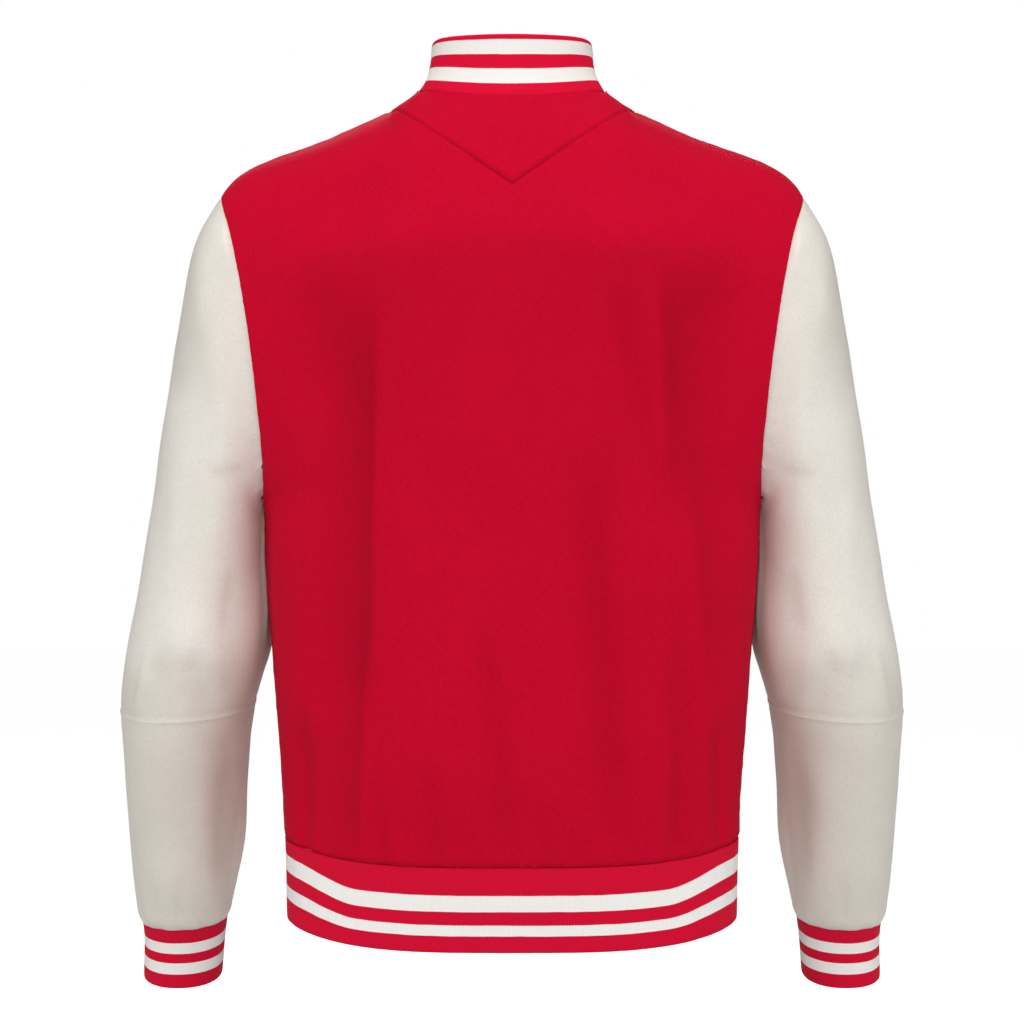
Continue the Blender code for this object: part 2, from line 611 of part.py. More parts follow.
def ring_points(section, angles):
    """Points round one ring of the sleeve. Angle 0 is the inner side, 90 the back, 180 the outer side."""
    s = section
    middle = np.array([(s.outer_x + s.inner_x) / 2, s.middle_y, (s.outer_z + s.inner_z) / 2])
    out = np.array([(s.outer_x - s.inner_x) / 2, 0.0, (s.outer_z - s.inner_z) / 2])
    tip = math.radians(s.tip_deg)
    back = s.half_depth * np.array([0.0, math.cos(tip), -math.sin(tip)])
    across, deep = np.cos(angles), np.sin(angles)
    across = np.sign(across) * np.abs(across) ** SLEEVE_ROUNDING
    deep = np.sign(deep) * np.abs(deep) ** SLEEVE_ROUNDING
    return middle - out * across[:, None] + back * deep[:, None]


def sleeve_fold_depth(points, angles):
    """How far the sleeve's folds push each point in."""
    depth = np.zeros(points.shape[:-1])
    turn = np.degrees(angles)[None, :]
    radius = 55.0
    for fold in SLEEVE_FOLDS:
        along = np.radians((turn - fold.angle1 + 180) % 360 - 180) * radius
        line = np.array([math.radians(fold.angle2 - fold.angle1) * radius, fold.z2 - fold.z1])
        length = np.linalg.norm(line)
        down = points[..., 2] - fold.z1
        run = (along * line[0] + down * line[1]) / length
        off = np.abs(-along * line[1] + down * line[0]) / length
        ends = smooth_step(run / (0.35 * length)) * smooth_step((length - run) / (0.35 * length))
        depth += fold.depth * np.exp(-((off / fold.width) ** 2)) * ends
    return depth


def tube_normals(points):
    """Outward directions of a tube of rings, from its neighbours along and around."""
    around = np.roll(points, -1, axis=1) - np.roll(points, 1, axis=1)
    along = np.gradient(points, axis=0)
    return unit(np.cross(around, along))


def sleeve_panels(back, front):
    """The left sleeve's upper and lower parts, and its cuff.

    The first ring is the armhole that the left sides of the body's panels make.
    """
    rises = row_rises()
    first = LOWER_ROWS
    steps = np.linspace(0, math.pi, ARMHOLE_STEPS + 1)
    angles = np.concatenate([steps, 2 * math.pi - steps[-2:0:-1]])
    up_back = bare_torso(BACK, np.ones(ARMHOLE_STEPS + 1), rises[first:])
    down_front = bare_torso(FRONT, np.ones(ARMHOLE_STEPS - 1), rises[-2:first:-1])
    rings = [np.concatenate([up_back, down_front])]
    rings += [ring_points(s, angles) for s in SLEEVE_SECTIONS]
    outer_path = np.array([ring[ARMHOLE_STEPS] for ring in rings])
    inner_path = np.array([ring[0] for ring in rings])
    step = np.linalg.norm(np.diff(outer_path, axis=0), axis=1)
    step = step + 0.35 * np.linalg.norm(np.diff(inner_path, axis=0), axis=1)
    knots = np.concatenate([[0], np.cumsum(step)])
    elbow, seam = knots[ELBOW_SEAM], knots[-2]
    places = np.concatenate(
        [
            np.linspace(0, elbow, UPPER_SLEEVE_RINGS + 1),
            np.linspace(elbow, seam, LOWER_SLEEVE_RINGS + 1)[1:],
            np.linspace(seam, knots[-1], CUFF_RINGS + 1)[1:],
        ]
    )
    tube = through(knots, np.array(rings), places)
    normals = tube_normals(tube)
    fade = smooth_step(places / 60.0) * smooth_step((seam - places) / 25.0)
    tube = tube - normals * (sleeve_fold_depth(tube, angles) * fade[:, None])[..., None]
    first_cuff = UPPER_SLEEVE_RINGS + LOWER_SLEEVE_RINGS
    rings_above = slice(0, UPPER_SLEEVE_RINGS + 1)
    rings_below = slice(UPPER_SLEEVE_RINGS, first_cuff + 1)
    upper = Panel(tube[rings_above], normals[rings_above], SLEEVE_WALL)
    lower = Panel(tube[rings_below], normals[rings_below], SLEEVE_WALL)
    cuff_normals = normals[first_cuff:]
    cuff = Panel(tube[first_cuff:] - cuff_normals * RIB_STEP, cuff_normals, RIB_WALL)
    join_kept(upper, side_of(upper, row=-1), lower, side_of(lower, row=0))
    join(lower, side_of(lower, row=-1), cuff, side_of(cuff, row=0))

    armhole = side_of(upper, row=0)
    last = back.outer.shape[1] - 1
    up = side_of(back, column=last, start=first)
    join(back, up, upper, armhole[: ARMHOLE_STEPS + 1], CURVED_SEAM_GAP)
    side = front.outer.shape[1] - 1
    down = side_of(front, column=side, start=first)[::-1]
    share_front_edge(front, down, upper, armhole[ARMHOLE_STEPS:] + armhole[:1])
    return upper, lower, cuff


def half_of(tube, columns):
    """The half of a sleeve that these columns span, drawn back from the other half along both sides."""
    half = Panel(tube.outer[:, columns], np.zeros(3), tube.wall)
    half.through = tube.through[:, columns].copy()
    for (row, column), shifts in tube.pulls.items():
        if column in columns:
            half.pulls[row, columns.index(column)] = list(shifts)
    count = tube.outer.shape[1]
    for column, way in ((0, 1), (len(columns) - 1, -1)):
        at = columns[column]
        across = tube.outer[:, (at + 1) % count] - tube.outer[:, at - 1]
        for row, parting in enumerate(across):
            deep = unit(tube.through[row, at])
            drawn = way * unit(parting - deep * float(parting @ deep)) * SEAM_GAP / 2
            held = half.pulls.get((row, column), [np.zeros(3)])[0]
            half.pulls[row, column] = [held + drawn]
    return half


def share_front_edge(front, edge, sleeve, armhole):
    """Mitres the front to the sleeve, whose tip and underarm are already mitred to the back."""
    join(front, edge[1:-1], sleeve, armhole[1:-1], CURVED_SEAM_GAP)
    for (at, inside), (met, _) in ((edge[0], armhole[0]), (edge[-1], armhole[-1])):
        front.through[at] = sleeve.through[met] * front.wall / sleeve.wall
        way = unit(-front.through[at])
        parting = unit(front.outer[inside] - front.outer[at])
        front.pull(at, unit(parting - way * float(parting @ way)))


# ---- collar ----


def collar_panel(yoke, left, right):
    """The rib collar: columns run from the opening, round the wearer's left and the back, to the opening."""
    neck = slice(YOKE_COLUMNS - NECK_COLUMNS, YOKE_COLUMNS + NECK_COLUMNS + 1)
    base = np.concatenate(
        [
            left.outer[-1, 1 : NECK_COLUMNS + 1],
            yoke.outer[-1, neck][::-1],
            right.outer[-1, NECK_COLUMNS:0:-1],
        ]
    )
    facing = np.arctan2(base[:, 1], np.abs(base[:, 0]))
    to_back = np.clip(np.sin(facing), 0, 1)[:, None]
    to_front = np.clip(-np.sin(facing), 0, 1)[:, None]
    to_side = 1 - to_back - to_front
    inward = COLLAR_BACK.inward * to_back + COLLAR_FRONT.inward * to_front + COLLAR_SIDE.inward * to_side
    up = COLLAR_BACK.up * to_back + COLLAR_FRONT.up * to_front + COLLAR_SIDE.up * to_side
    centre_pull = unit(base * (-1, -1, 0))
    length = np.concatenate([[0], np.cumsum(np.linalg.norm(np.diff(base, axis=0), axis=1))])
    from_end = np.minimum(length, length[-1] - length)[:, None]
    corner = np.sqrt(np.clip(1 - (1 - np.minimum(from_end / COLLAR_CORNER, 1)) ** 2, 0, 1))
    corner = 0.62 + 0.38 * corner
    rows = []
    for level in COLLAR_LEVELS:
        flare = 1 - (1 - level) ** 3
        rows.append(base + centre_pull * inward * flare + np.array([0, 0, 1]) * up * level * corner)
    points = np.array(rows)
    around = np.gradient(points, axis=1)
    rising = np.gradient(points, axis=0)
    return Panel(points, unit(np.cross(around, rising)), COLLAR_WALL)


def join_collar(collar, back_yoke, left, right):
    """Mitres the collar's lower edge to the necklines of the yoke and the fronts."""
    lower = side_of(collar, row=0)
    yoke_middle = YOKE_COLUMNS
    yoke = side_of(
        back_yoke, row=-1, start=yoke_middle - NECK_COLUMNS, stop=yoke_middle + NECK_COLUMNS + 1
    )
    around_back = lower[NECK_COLUMNS : 3 * NECK_COLUMNS + 1]
    join(back_yoke, yoke[::-1], collar, around_back, CURVED_SEAM_GAP)
    left_neck = side_of(left, row=-1, start=1, stop=NECK_COLUMNS + 2)
    right_neck = side_of(right, row=-1, start=1, stop=NECK_COLUMNS + 2)
    share_neck_edge(left, left_neck, collar, lower[: NECK_COLUMNS + 1])
    share_neck_edge(right, right_neck, collar, lower[3 * NECK_COLUMNS :][::-1])


def share_neck_edge(front, edge, collar, lower):
    """Mitres a front to the collar, whose neck point is already mitred to the yoke."""
    join(front, edge[:-1], collar, lower[:-1], CURVED_SEAM_GAP)
    (at, inside), (met, _) = edge[-1], lower[-1]
    front.through[at] = collar.through[met] * front.wall / collar.wall
    way = unit(-front.through[at])
    parting = unit(front.outer[inside] - front.outer[at])
    front.pull(at, unit(parting - way * float(parting @ way)))


# ---- snaps ----


def snap_mesh():
    """Half the outline of a domed snap cap with a rolled rim, from its top to its flat back at 0."""
    work = bmesh.new()
    line = [work.verts.new((point.radius * MM, 0.0, point.height * MM)) for point in SNAP_OUTLINE]
    for a, b in zip(line, line[1:]):
        work.edges.new((a, b))
    mesh = bpy.data.meshes.new("snap_outline")
    work.to_mesh(mesh)
    work.free()
    mesh.materials.append(material(CREAM_ENAMEL))
    return mesh


def add_snaps(collection):
    """Snaps down the middle of the upper front, and one on the hem."""
    mesh = snap_mesh()
    heights = np.array(SNAP_HEIGHTS)
    low, high = np.zeros(len(heights)), np.full(len(heights), TOP_RISE)
    for _ in range(30):
        rises = (low + high) / 2
        points = bare_torso(FRONT, np.zeros(len(heights)), rises)
        under = points[:, 2] < heights
        low, high = np.where(under, rises, low), np.where(under, high, rises)
    ways = torso_normals(FRONT, np.zeros(len(heights)), rises)
    for number, (rise, point, way) in enumerate(zip(rises, points, ways), start=1):
        wall, step_in = (RIB_WALL, RIB_STEP) if rise < HEM_SEAM_RISE else (BODY_WALL, 0.0)
        way = unit(way * (0, 1, 1))
        lift = wall + LAP_CLEARANCE - step_in + SNAP_CLEARANCE
        snap = bpy.data.objects.new(f"snap_{number}", mesh)
        collection.objects.link(snap)
        snap.location = Vector(point + way * lift) * MM
        snap.rotation_euler = Vector(way).to_track_quat("Z", "Y").to_euler()
        turn = snap.modifiers.new("turned", "SCREW")
        turn.steps = turn.render_steps = 20
        turn.use_merge_vertices = True
        turn.merge_threshold = 0.00005
        turn.use_smooth_shade = True


# ---- the whole jacket ----


def join_kept(a, edge_a, b, edge_b):
    """Parts two panels of one smooth surface, whose walls already run the same way through the seam."""
    for (at_a, in_a), (at_b, in_b) in zip(edge_a, edge_b, strict=True):
        way = unit(-a.through[at_a])
        parting = unit(a.outer[in_a] - a.outer[at_a]) - unit(b.outer[in_b] - b.outer[at_b])
        parting = unit(parting - way * float(parting @ way))
        a.pull(at_a, parting)
        b.pull(at_b, -parting)


def join_sleeves(back, left, right):
    """Makes the left sleeve's parts and cuff, and fits both armholes of the body to them.

    The right sleeve will mirror the left, so the body's right side takes the left side's mitres.
    """
    fitted = front_panel(True)
    upper, lower, cuff = sleeve_panels(back, fitted)
    last = fitted.outer.shape[1] - 1
    for row in range(LOWER_ROWS, back.outer.shape[0]):
        for front, flip in ((left, np.ones(3)), (right, MIRROR)):
            front.through[row, last] = fitted.through[row, last] * flip
            front.pulls[row, last] = [way * flip for way in fitted.pulls[row, last]]
        back.through[row, 0] = back.through[row, -1] * MIRROR
        back.pulls[row, 0] = [way * MIRROR for way in back.pulls[row, back.outer.shape[1] - 1]]
    return upper, lower, cuff


def join_sides(back, front, column):
    """The side seam, from the hem to the underarm."""
    sides = slice(0, LOWER_ROWS + 1)
    last = front.outer.shape[1] - 1
    join_kept(back, side_of(back, column=column)[sides], front, side_of(front, column=last)[sides])


def join_shoulder(back, yoke, front, way):
    """The shoulder seam. The yoke has it near the neck and the back has the rest. Way is 1 on the left."""
    top_front, top_back, top_yoke = (side_of(panel, row=-1) for panel in (front, back, yoke))
    middle_back, last = len(top_back) // 2, len(top_front) - 1
    for panel, edge, centre, span in (
        (back, top_back, middle_back, range(YOKE_COLUMNS, last)),
        (yoke, top_yoke, YOKE_COLUMNS, range(NECK_COLUMNS, YOKE_COLUMNS)),
    ):
        behind = [edge[centre + way * c] for c in span]
        join_kept(panel, behind, front, [top_front[c + 1] for c in span])


def join_yoke(back, yoke):
    """The V seam. The yoke's upper points are cut a little short."""
    middle = back.outer.shape[1] // 2
    along = slice(middle - YOKE_COLUMNS + 1, middle + YOKE_COLUMNS)
    join_kept(back, side_of(back, row=-1)[along], yoke, side_of(yoke, row=0)[1:-1])
    for tip, inside in ((0, 1), (2 * YOKE_COLUMNS, 2 * YOKE_COLUMNS - 1)):
        inward = unit(yoke.outer[1, inside] - yoke.outer[0, tip])
        for row in range(YOKE_ROWS + 1):
            yoke.pulls[row, tip] = [inward * YOKE_TIP_CUT]


def join_hem(hem, back, left, right):
    """Parts the hem's upper edge from the panels above it."""
    count = left.outer.shape[1]
    last = back.outer.shape[1]
    upper = side_of(hem, row=-1)
    around_back = upper[count - 1 : count - 1 + last]
    join_kept(back, side_of(back, row=0)[::-1], hem, around_back)
    for front, edge in ((left, upper[: count - 1]), (right, upper[count - 1 + last :][::-1])):
        lower = side_of(front, row=0)
        join_kept(front, lower[:-1], hem, edge)
        at, inside = lower[-1]
        front.pull(at, unit(front.outer[inside] - front.outer[at]))


def build():
    for old in list(bpy.data.objects):
        bpy.data.objects.remove(old)
    jacket = bpy.data.collections.new("varsity_jacket")
    bpy.context.scene.collection.children.link(jacket)

    back, yoke = back_panels()
    left, right = front_panel(True), front_panel(False)
    hem = hem_panel()
    upper_sleeve, lower_sleeve, cuff = join_sleeves(back, left, right)
    join_sides(back, left, back.outer.shape[1] - 1)
    join_sides(back, right, 0)
    join_shoulder(back, yoke, left, 1)
    join_shoulder(back, yoke, right, -1)
    join_yoke(back, yoke)
    collar = collar_panel(yoke, left, right)
    join_collar(collar, yoke, left, right)
    join_hem(hem, back, left, right)

    wall_object("back_panel", back, RED_WOOL, jacket, spans=True)
    wall_object("back_yoke", yoke, RED_WOOL, jacket, spans=True)
    wall_object("left_front", left, RED_WOOL, jacket)
    wall_object("right_front", right, RED_WOOL, jacket)
    wall_object("hem_rib", hem, STRIPED_RIB, jacket, spans=True)
    wall_object("collar_rib", collar, STRIPED_RIB, jacket, spans=True)
    # The sleeves are cut along the underarm line and along the outer side of the arm.
    behind = list(range(ARMHOLE_STEPS + 1))
    ahead = list(range(ARMHOLE_STEPS, 2 * ARMHOLE_STEPS)) + [0]
    for side, mirrored in (("left", False), ("right", True)):
        for name, tube in (("upper_sleeve", upper_sleeve), ("lower_sleeve", lower_sleeve)):
            for half, columns in (("back", behind), ("front", ahead)):
                panel = half_of(tube, columns)
                wall_object(f"{side}_{name}_{half}", panel, CREAM_LEATHER, jacket, mirrored=mirrored)
        wall_object(f"{side}_cuff", cuff, STRIPED_RIB, jacket, wraps=True, mirrored=mirrored)
    add_snaps(jacket)


build()
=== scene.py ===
import math

import bmesh
import bpy
import numpy as np
from mathutils import Matrix, Vector
from mathutils.kdtree import KDTree


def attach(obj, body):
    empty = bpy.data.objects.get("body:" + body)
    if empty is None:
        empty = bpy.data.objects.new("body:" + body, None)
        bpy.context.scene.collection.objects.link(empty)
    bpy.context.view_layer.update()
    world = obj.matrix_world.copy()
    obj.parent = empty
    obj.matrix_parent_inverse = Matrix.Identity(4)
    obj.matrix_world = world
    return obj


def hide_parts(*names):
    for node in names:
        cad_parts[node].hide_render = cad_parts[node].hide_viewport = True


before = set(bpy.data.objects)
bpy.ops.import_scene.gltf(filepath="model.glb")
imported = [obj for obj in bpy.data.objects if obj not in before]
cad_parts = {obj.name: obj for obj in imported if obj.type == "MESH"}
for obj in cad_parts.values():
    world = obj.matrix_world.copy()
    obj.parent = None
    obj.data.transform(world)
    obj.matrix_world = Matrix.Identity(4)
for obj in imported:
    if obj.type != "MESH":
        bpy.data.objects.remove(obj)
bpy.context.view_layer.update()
print("frame loaded:", len(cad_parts), "nodes")


# Helpers for shaders.


class Wire:  # a socket that can be used in sums
    def __init__(self, tree, socket=None):
        self.tree = tree
        self.socket = socket

    def node(self, kind, settings=None, values=None, out=0):
        made = self.tree.nodes.new(kind)
        for key, value in (settings or {}).items():
            setattr(made, key, value)
        for key, value in (values or {}).items():
            if isinstance(value, Wire):
                self.tree.links.new(value.socket, made.inputs[key])
            else:
                made.inputs[key].default_value = value
        return Wire(self.tree, made.outputs[out])

    def __add__(self, other):
        return self.node("ShaderNodeMath", {"operation": "ADD"}, {0: self, 1: other})

    def __sub__(self, other):
        return self.node("ShaderNodeMath", {"operation": "SUBTRACT"}, {0: self, 1: other})

    def __rsub__(self, other):
        return self.node("ShaderNodeMath", {"operation": "SUBTRACT"}, {0: other, 1: self})

    def __mul__(self, other):
        return self.node("ShaderNodeMath", {"operation": "MULTIPLY"}, {0: self, 1: other})

    def __truediv__(self, other):
        return self.node("ShaderNodeMath", {"operation": "DIVIDE"}, {0: self, 1: other})


def newMaterial(name):
    made = bpy.data.materials.new(name)
    made.use_nodes = True
    return made, Wire(made.node_tree), made.node_tree.nodes["Principled BSDF"]


def noise(place, scale, detail=3.0, roughness=0.5, distortion=0.0):
    values = {"Vector": place, "Scale": scale, "Detail": detail, "Roughness": roughness, "Distortion": distortion}
    return place.node("ShaderNodeTexNoise", {}, values)


def step(wire, start, end):  # 0 before start, 1 after end
    values = {"Value": wire, "From Min": start, "From Max": end}
    return wire.node("ShaderNodeMapRange", {"interpolation_type": "SMOOTHSTEP"}, values)


def wave(wire, kind="COSINE"):
    return wire.node("ShaderNodeMath", {"operation": kind}, {0: wire})


def blendColours(share, first, second):
    return share.node("ShaderNodeMix", {"data_type": "RGBA"}, {"Factor": share, 6: first, 7: second}, out=2)


def multiplyColours(wire, first, second):
    settings = {"data_type": "RGBA", "blend_type": "MULTIPLY"}
    return wire.node("ShaderNodeMix", settings, {"Factor": 1.0, 6: first, 7: second}, out=2)


def withPaintedShade(wire, colour, dark):  # painted shade: the colour times dark where the attribute is 1
    paintedShade = wire.node("ShaderNodeAttribute", {"attribute_name": "paintedShade"}, out=2)
    shade = blendColours(paintedShade, (1, 1, 1, 1), dark)
    return multiplyColours(wire, colour, shade)


def finishSurface(wire, surface, colour, roughness, height, strength, distance):
    bump = wire.node("ShaderNodeBump", {}, {"Height": height, "Strength": strength, "Distance": distance})
    for socket, value in (("Base Color", colour), ("Roughness", roughness), ("Normal", bump)):
        wire.tree.links.new(value.socket, surface.inputs[socket])


# Cloth pieces start as copies of the solids.


def only(piece):
    bpy.ops.object.select_all(action="DESELECT")
    bpy.context.view_layer.objects.active = piece
    piece.select_set(True)


def applyModifier(piece, kind, **settings):
    only(piece)
    made = piece.modifiers.new(kind.lower(), kind)
    for key, value in settings.items():
        setattr(made, key, value)
    bpy.ops.object.modifier_apply(modifier=made.name)


def clothFrom(nodes, name, influence=2.0, sharp=50):
    copies = []
    for node in nodes:
        copy = bpy.data.objects.new(name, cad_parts[node].data.copy())
        bpy.context.scene.collection.objects.link(copy)
        copies.append(copy)
    piece = copies[0]
    only(piece)
    for copy in copies[1:]:
        copy.select_set(True)
    if len(copies) > 1:
        bpy.ops.object.join()
    piece.data.name = name
    bpy.ops.object.mode_set(mode="EDIT")
    bpy.ops.mesh.customdata_custom_splitnormals_clear()
    bpy.ops.mesh.select_all(action="SELECT")
    bpy.ops.mesh.remove_doubles(threshold=0.00002)
    if len(copies) > 1:  # halves of a sleeve: sewn into one, and the walls between them taken out
        bpy.ops.mesh.remove_doubles(threshold=0.0006)
        bpy.ops.mesh.select_all(action="DESELECT")
        bpy.ops.mesh.select_interior_faces()
        bpy.ops.mesh.delete(type="FACE")
        bpy.ops.mesh.select_all(action="SELECT")
    bpy.ops.mesh.tris_convert_to_quads(
        face_threshold=math.pi, shape_threshold=math.pi, topology_influence=influence
    )
    bpy.ops.mesh.select_all(action="DESELECT")
    bpy.ops.mesh.select_mode(type="EDGE")
    bpy.ops.mesh.edges_select_sharp(sharpness=math.radians(sharp))
    bpy.ops.mesh.mark_sharp()
    bpy.ops.mesh.select_mode(type="VERT")
    bpy.ops.object.mode_set(mode="OBJECT")
    return piece


def faceGroups(faces):  # faces that meet with no sharp edge between them
    within, seen, groups = set(faces), set(), []
    for first in faces:
        if first in seen:
            continue
        seen.add(first)
        group, todo = [], [first]
        while todo:
            face = todo.pop()
            group.append(face)
            for edge in face.edges:
                for other in edge.link_faces if edge.smooth else ():
                    if other in within and other not in seen:
                        seen.add(other)
                        todo.append(other)
        groups.append(group)
    return groups


def directions(vectors):
    return vectors / np.maximum(np.linalg.norm(vectors, axis=-1, keepdims=True), 1e-9)


def markOuter(piece, inside, least=0.4):  # the side of the cloth that shows gets 1 in the attribute, its back 0
    work = bmesh.new()
    work.from_mesh(piece.data)
    layer = work.verts.layers.float.new("outer")
    for group in faceGroups(list(work.faces)):
        middles = np.array([face.calc_center_median() for face in group])
        normals = np.array([face.normal for face in group])
        areas = np.array([face.calc_area() for face in group])
        facing = (normals * directions(middles - inside(middles))).sum(axis=1)
        if len(group) > 20 and facing @ areas > least * areas.sum():
            for face in group:
                for vert in face.verts:
                    vert[layer] = 1.0
    work.to_mesh(piece.data)
    work.free()


def subdivide(piece, levels):
    only(piece)
    bpy.ops.object.mode_set(mode="EDIT")
    bpy.ops.mesh.select_mode(type="EDGE")
    bpy.ops.mesh.select_all(action="DESELECT")
    bpy.ops.mesh.edges_select_sharp(sharpness=math.radians(50))
    bpy.ops.transform.edge_crease(value=1)
    bpy.ops.mesh.select_mode(type="VERT")
    bpy.ops.object.mode_set(mode="OBJECT")
    applyModifier(piece, "SUBSURF", levels=levels, render_levels=levels, uv_smooth="NONE")


def readPoints(piece):
    points = np.empty(len(piece.data.vertices) * 3, np.float32)
    piece.data.vertices.foreach_get("co", points)
    return points.reshape(-1, 3).astype(float)


def writePoints(piece, points):
    piece.data.vertices.foreach_set("co", points.astype(np.float32).ravel())
    piece.data.update()


def treeOf(points):
    tree = KDTree(len(points))
    for number, point in enumerate(points):
        tree.insert(point, number)
    tree.balance()
    return tree


def drawTo(points, line, reach=0.004):  # what lies near this line comes up to it, as at a seam
    tree = treeOf(line)
    found = [tree.find(point) for point in points]
    places = np.array([one[0] for one in found])
    gaps = np.array([one[2] for one in found])
    return points + (places - points) * (0.97 * np.exp(-((gaps / reach) ** 2)))[:, None]


class Sheet:  # a piece of cloth by its outer side: points, directions and the distance from its edges
    def __init__(self, piece):
        self.piece = piece
        mesh = piece.data
        self.points = readPoints(piece)
        flag = np.empty(len(mesh.vertices), np.float32)
        mesh.attributes["outer"].data.foreach_get("value", flag)
        isOuter = flag > 0.999
        mesh.calc_loop_triangles()
        corners = np.empty(len(mesh.loop_triangles) * 3, np.int32)
        mesh.loop_triangles.foreach_get("vertices", corners)
        corners = corners.reshape(-1, 3)
        skin = corners[isOuter[corners].all(axis=1)]
        a, b, c = (self.points[skin[:, k]] for k in range(3))
        cross = np.cross(b - a, c - a)
        ways = np.zeros_like(self.points)
        for k in range(3):
            np.add.at(ways, skin[:, k], cross)
        self.ways = directions(ways)
        self.area = np.linalg.norm(cross, axis=1).sum() / 2
        self.outer = np.unique(skin)
        ends = np.sort(np.concatenate([skin[:, [0, 1]], skin[:, [1, 2]], skin[:, [2, 0]]]), axis=1)
        pairs, count = np.unique(ends, axis=0, return_counts=True)
        self.rimEdges = pairs[count == 1]  # those that only one triangle uses
        self.rim = np.unique(self.rimEdges)
        rest = np.ones(len(self.points), bool)
        rest[self.outer] = False
        self.rest = np.flatnonzero(rest)
        tree = treeOf(self.points[self.outer])
        self.nearest = np.array([tree.find(self.points[i])[1] for i in self.rest], int)

    def at(self):
        return self.points[self.outer]

    def fromRim(self, pick=None):
        rim = self.points[self.rim]
        if pick is not None:
            rim = rim[pick(rim)]
        if len(rim) == 0:
            return np.ones(len(self.outer))
        tree = treeOf(rim)
        return np.array([tree.find(self.points[i])[2] for i in self.outer])

    def push(self, amount):  # the outer side moves out by amount, and the rest of the cloth goes with it
        move = np.zeros_like(self.points)
        move[self.outer] = self.ways[self.outer] * amount[:, None]
        move[self.rest] = move[self.outer[self.nearest]]
        self.points = self.points + move
        writePoints(self.piece, self.points)

    def shade(self, amount):  # painted shade: how far the cloth's colour is darkened in its folds and seams
        whole = np.zeros(len(self.points), np.float32)
        whole[self.outer] = np.clip(amount, 0, 1)
        whole[self.rest] = whole[self.outer[self.nearest]]
        layer = self.piece.data.attributes.new("paintedShade", "FLOAT", "POINT")
        layer.data.foreach_set("value", whole)

    def sewTo(self, line):
        self.points = drawTo(self.points, line)
        writePoints(self.piece, self.points)

    def rimLine(self):  # the edges of the cloth, as close points
        starts, ends = (self.points[self.rimEdges[:, k]][:, None] for k in range(2))
        shares = np.linspace(0, 1, 10, endpoint=False)[None, :, None]
        return (starts + (ends - starts) * shares).reshape(-1, 3)


def refineEdges(piece, reach):  # one more cut across the outer faces near the edges of the cloth
    sheet = Sheet(piece)
    near = np.zeros(len(sheet.points), bool)
    near[sheet.outer[sheet.fromRim() < reach]] = True
    isOuter = np.zeros(len(sheet.points), bool)
    isOuter[sheet.outer] = True
    only(piece)
    bpy.ops.object.mode_set(mode="EDIT")
    bpy.ops.mesh.select_mode(type="FACE")
    bpy.ops.mesh.select_all(action="DESELECT")
    bpy.ops.object.mode_set(mode="OBJECT")
    for polygon in piece.data.polygons:
        ends = list(polygon.vertices)
        polygon.select = bool(near[ends].any() and isOuter[ends].all())
    bpy.ops.object.mode_set(mode="EDIT")
    bpy.ops.mesh.subdivide(number_cuts=1)
    bpy.ops.object.mode_set(mode="OBJECT")


def smoothStep(t):
    t = np.clip(t, 0.0, 1.0)
    return t * t * (3 - 2 * t)


def ridge(distance, width):
    return np.exp(-((distance / width) ** 2))


def uneven(points, size, seed):  # smooth waves of about this size, from -1 to 1, the same ones each time
    picks = np.random.default_rng(seed)
    total = np.zeros(len(points))
    for _ in range(7):
        way = directions(picks.normal(size=3))
        pitch = size * picks.uniform(0.7, 1.5)
        total += np.sin(points @ way * (2 * math.pi / pitch) + picks.uniform(0, 2 * math.pi))
    return total / 3.5


def dress(piece, nodes, slot, material, **cloth):
    piece.data.materials.clear()
    piece.data.materials.append(material)
    for polygon in piece.data.polygons:
        polygon.material_index = 0
        polygon.use_smooth = True
    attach(piece, "root")
    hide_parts(*nodes)


# The body is milled wool.

wool = {
    "deep": (0.480, 0.0008, 0.0190, 1),
    "bright": (0.585, 0.0016, 0.0270, 1),
    "fibreScale": 1500,
    "feltScale": 420,
    "cloudScale": 16,
    "drawn": 0.45,  # the fibres run up and down the cloth
    "nap": 0.00035,
    "napStrength": 0.5,
    # painted shade: the colour that the folds and seams are darkened towards
    "paintedShade": (0.58, 0.52, 0.55, 1),
    "sheen": 0.02,
    "sheenRoughness": 0.45,
    "sheenTint": (1.0, 0.12, 0.2, 1),
    "specular": 0.05,
}


def woolMaterial():
    made, wire, surface = newMaterial("milledWool")
    place = wire.node("ShaderNodeTexCoord", out=3)
    drawn = wire.node("ShaderNodeMapping", {}, {"Vector": place, "Scale": (1.0, 1.0, wool["drawn"])})
    fibres = noise(drawn, wool["fibreScale"], 4.0, 0.65, 1.2)
    felt = noise(place, wool["feltScale"], 4.0, 0.6, 0.8)
    cloud = noise(place, wool["cloudScale"], 2.0)
    tone = step(fibres * 0.5 + felt * 0.4 + cloud * 0.1, 0.36, 0.64)
    colour = withPaintedShade(wire, blendColours(tone, wool["deep"], wool["bright"]), wool["paintedShade"])
    roughness = felt * 0.12 + 0.82
    height = fibres * 0.6 + felt * 0.8
    finishSurface(wire, surface, colour, roughness, height, wool["napStrength"], wool["nap"])
    surface.inputs["Sheen Weight"].default_value = wool["sheen"]
    surface.inputs["Sheen Roughness"].default_value = wool["sheenRoughness"]
    surface.inputs["Sheen Tint"].default_value = wool["sheenTint"]
    surface.inputs["Specular IOR Level"].default_value = wool["specular"]
    return made


def bodyInside(points):
    return np.stack([points[:, 0] * 0.3, points[:, 1] * 0, np.minimum(points[:, 2], -0.15)], axis=1)


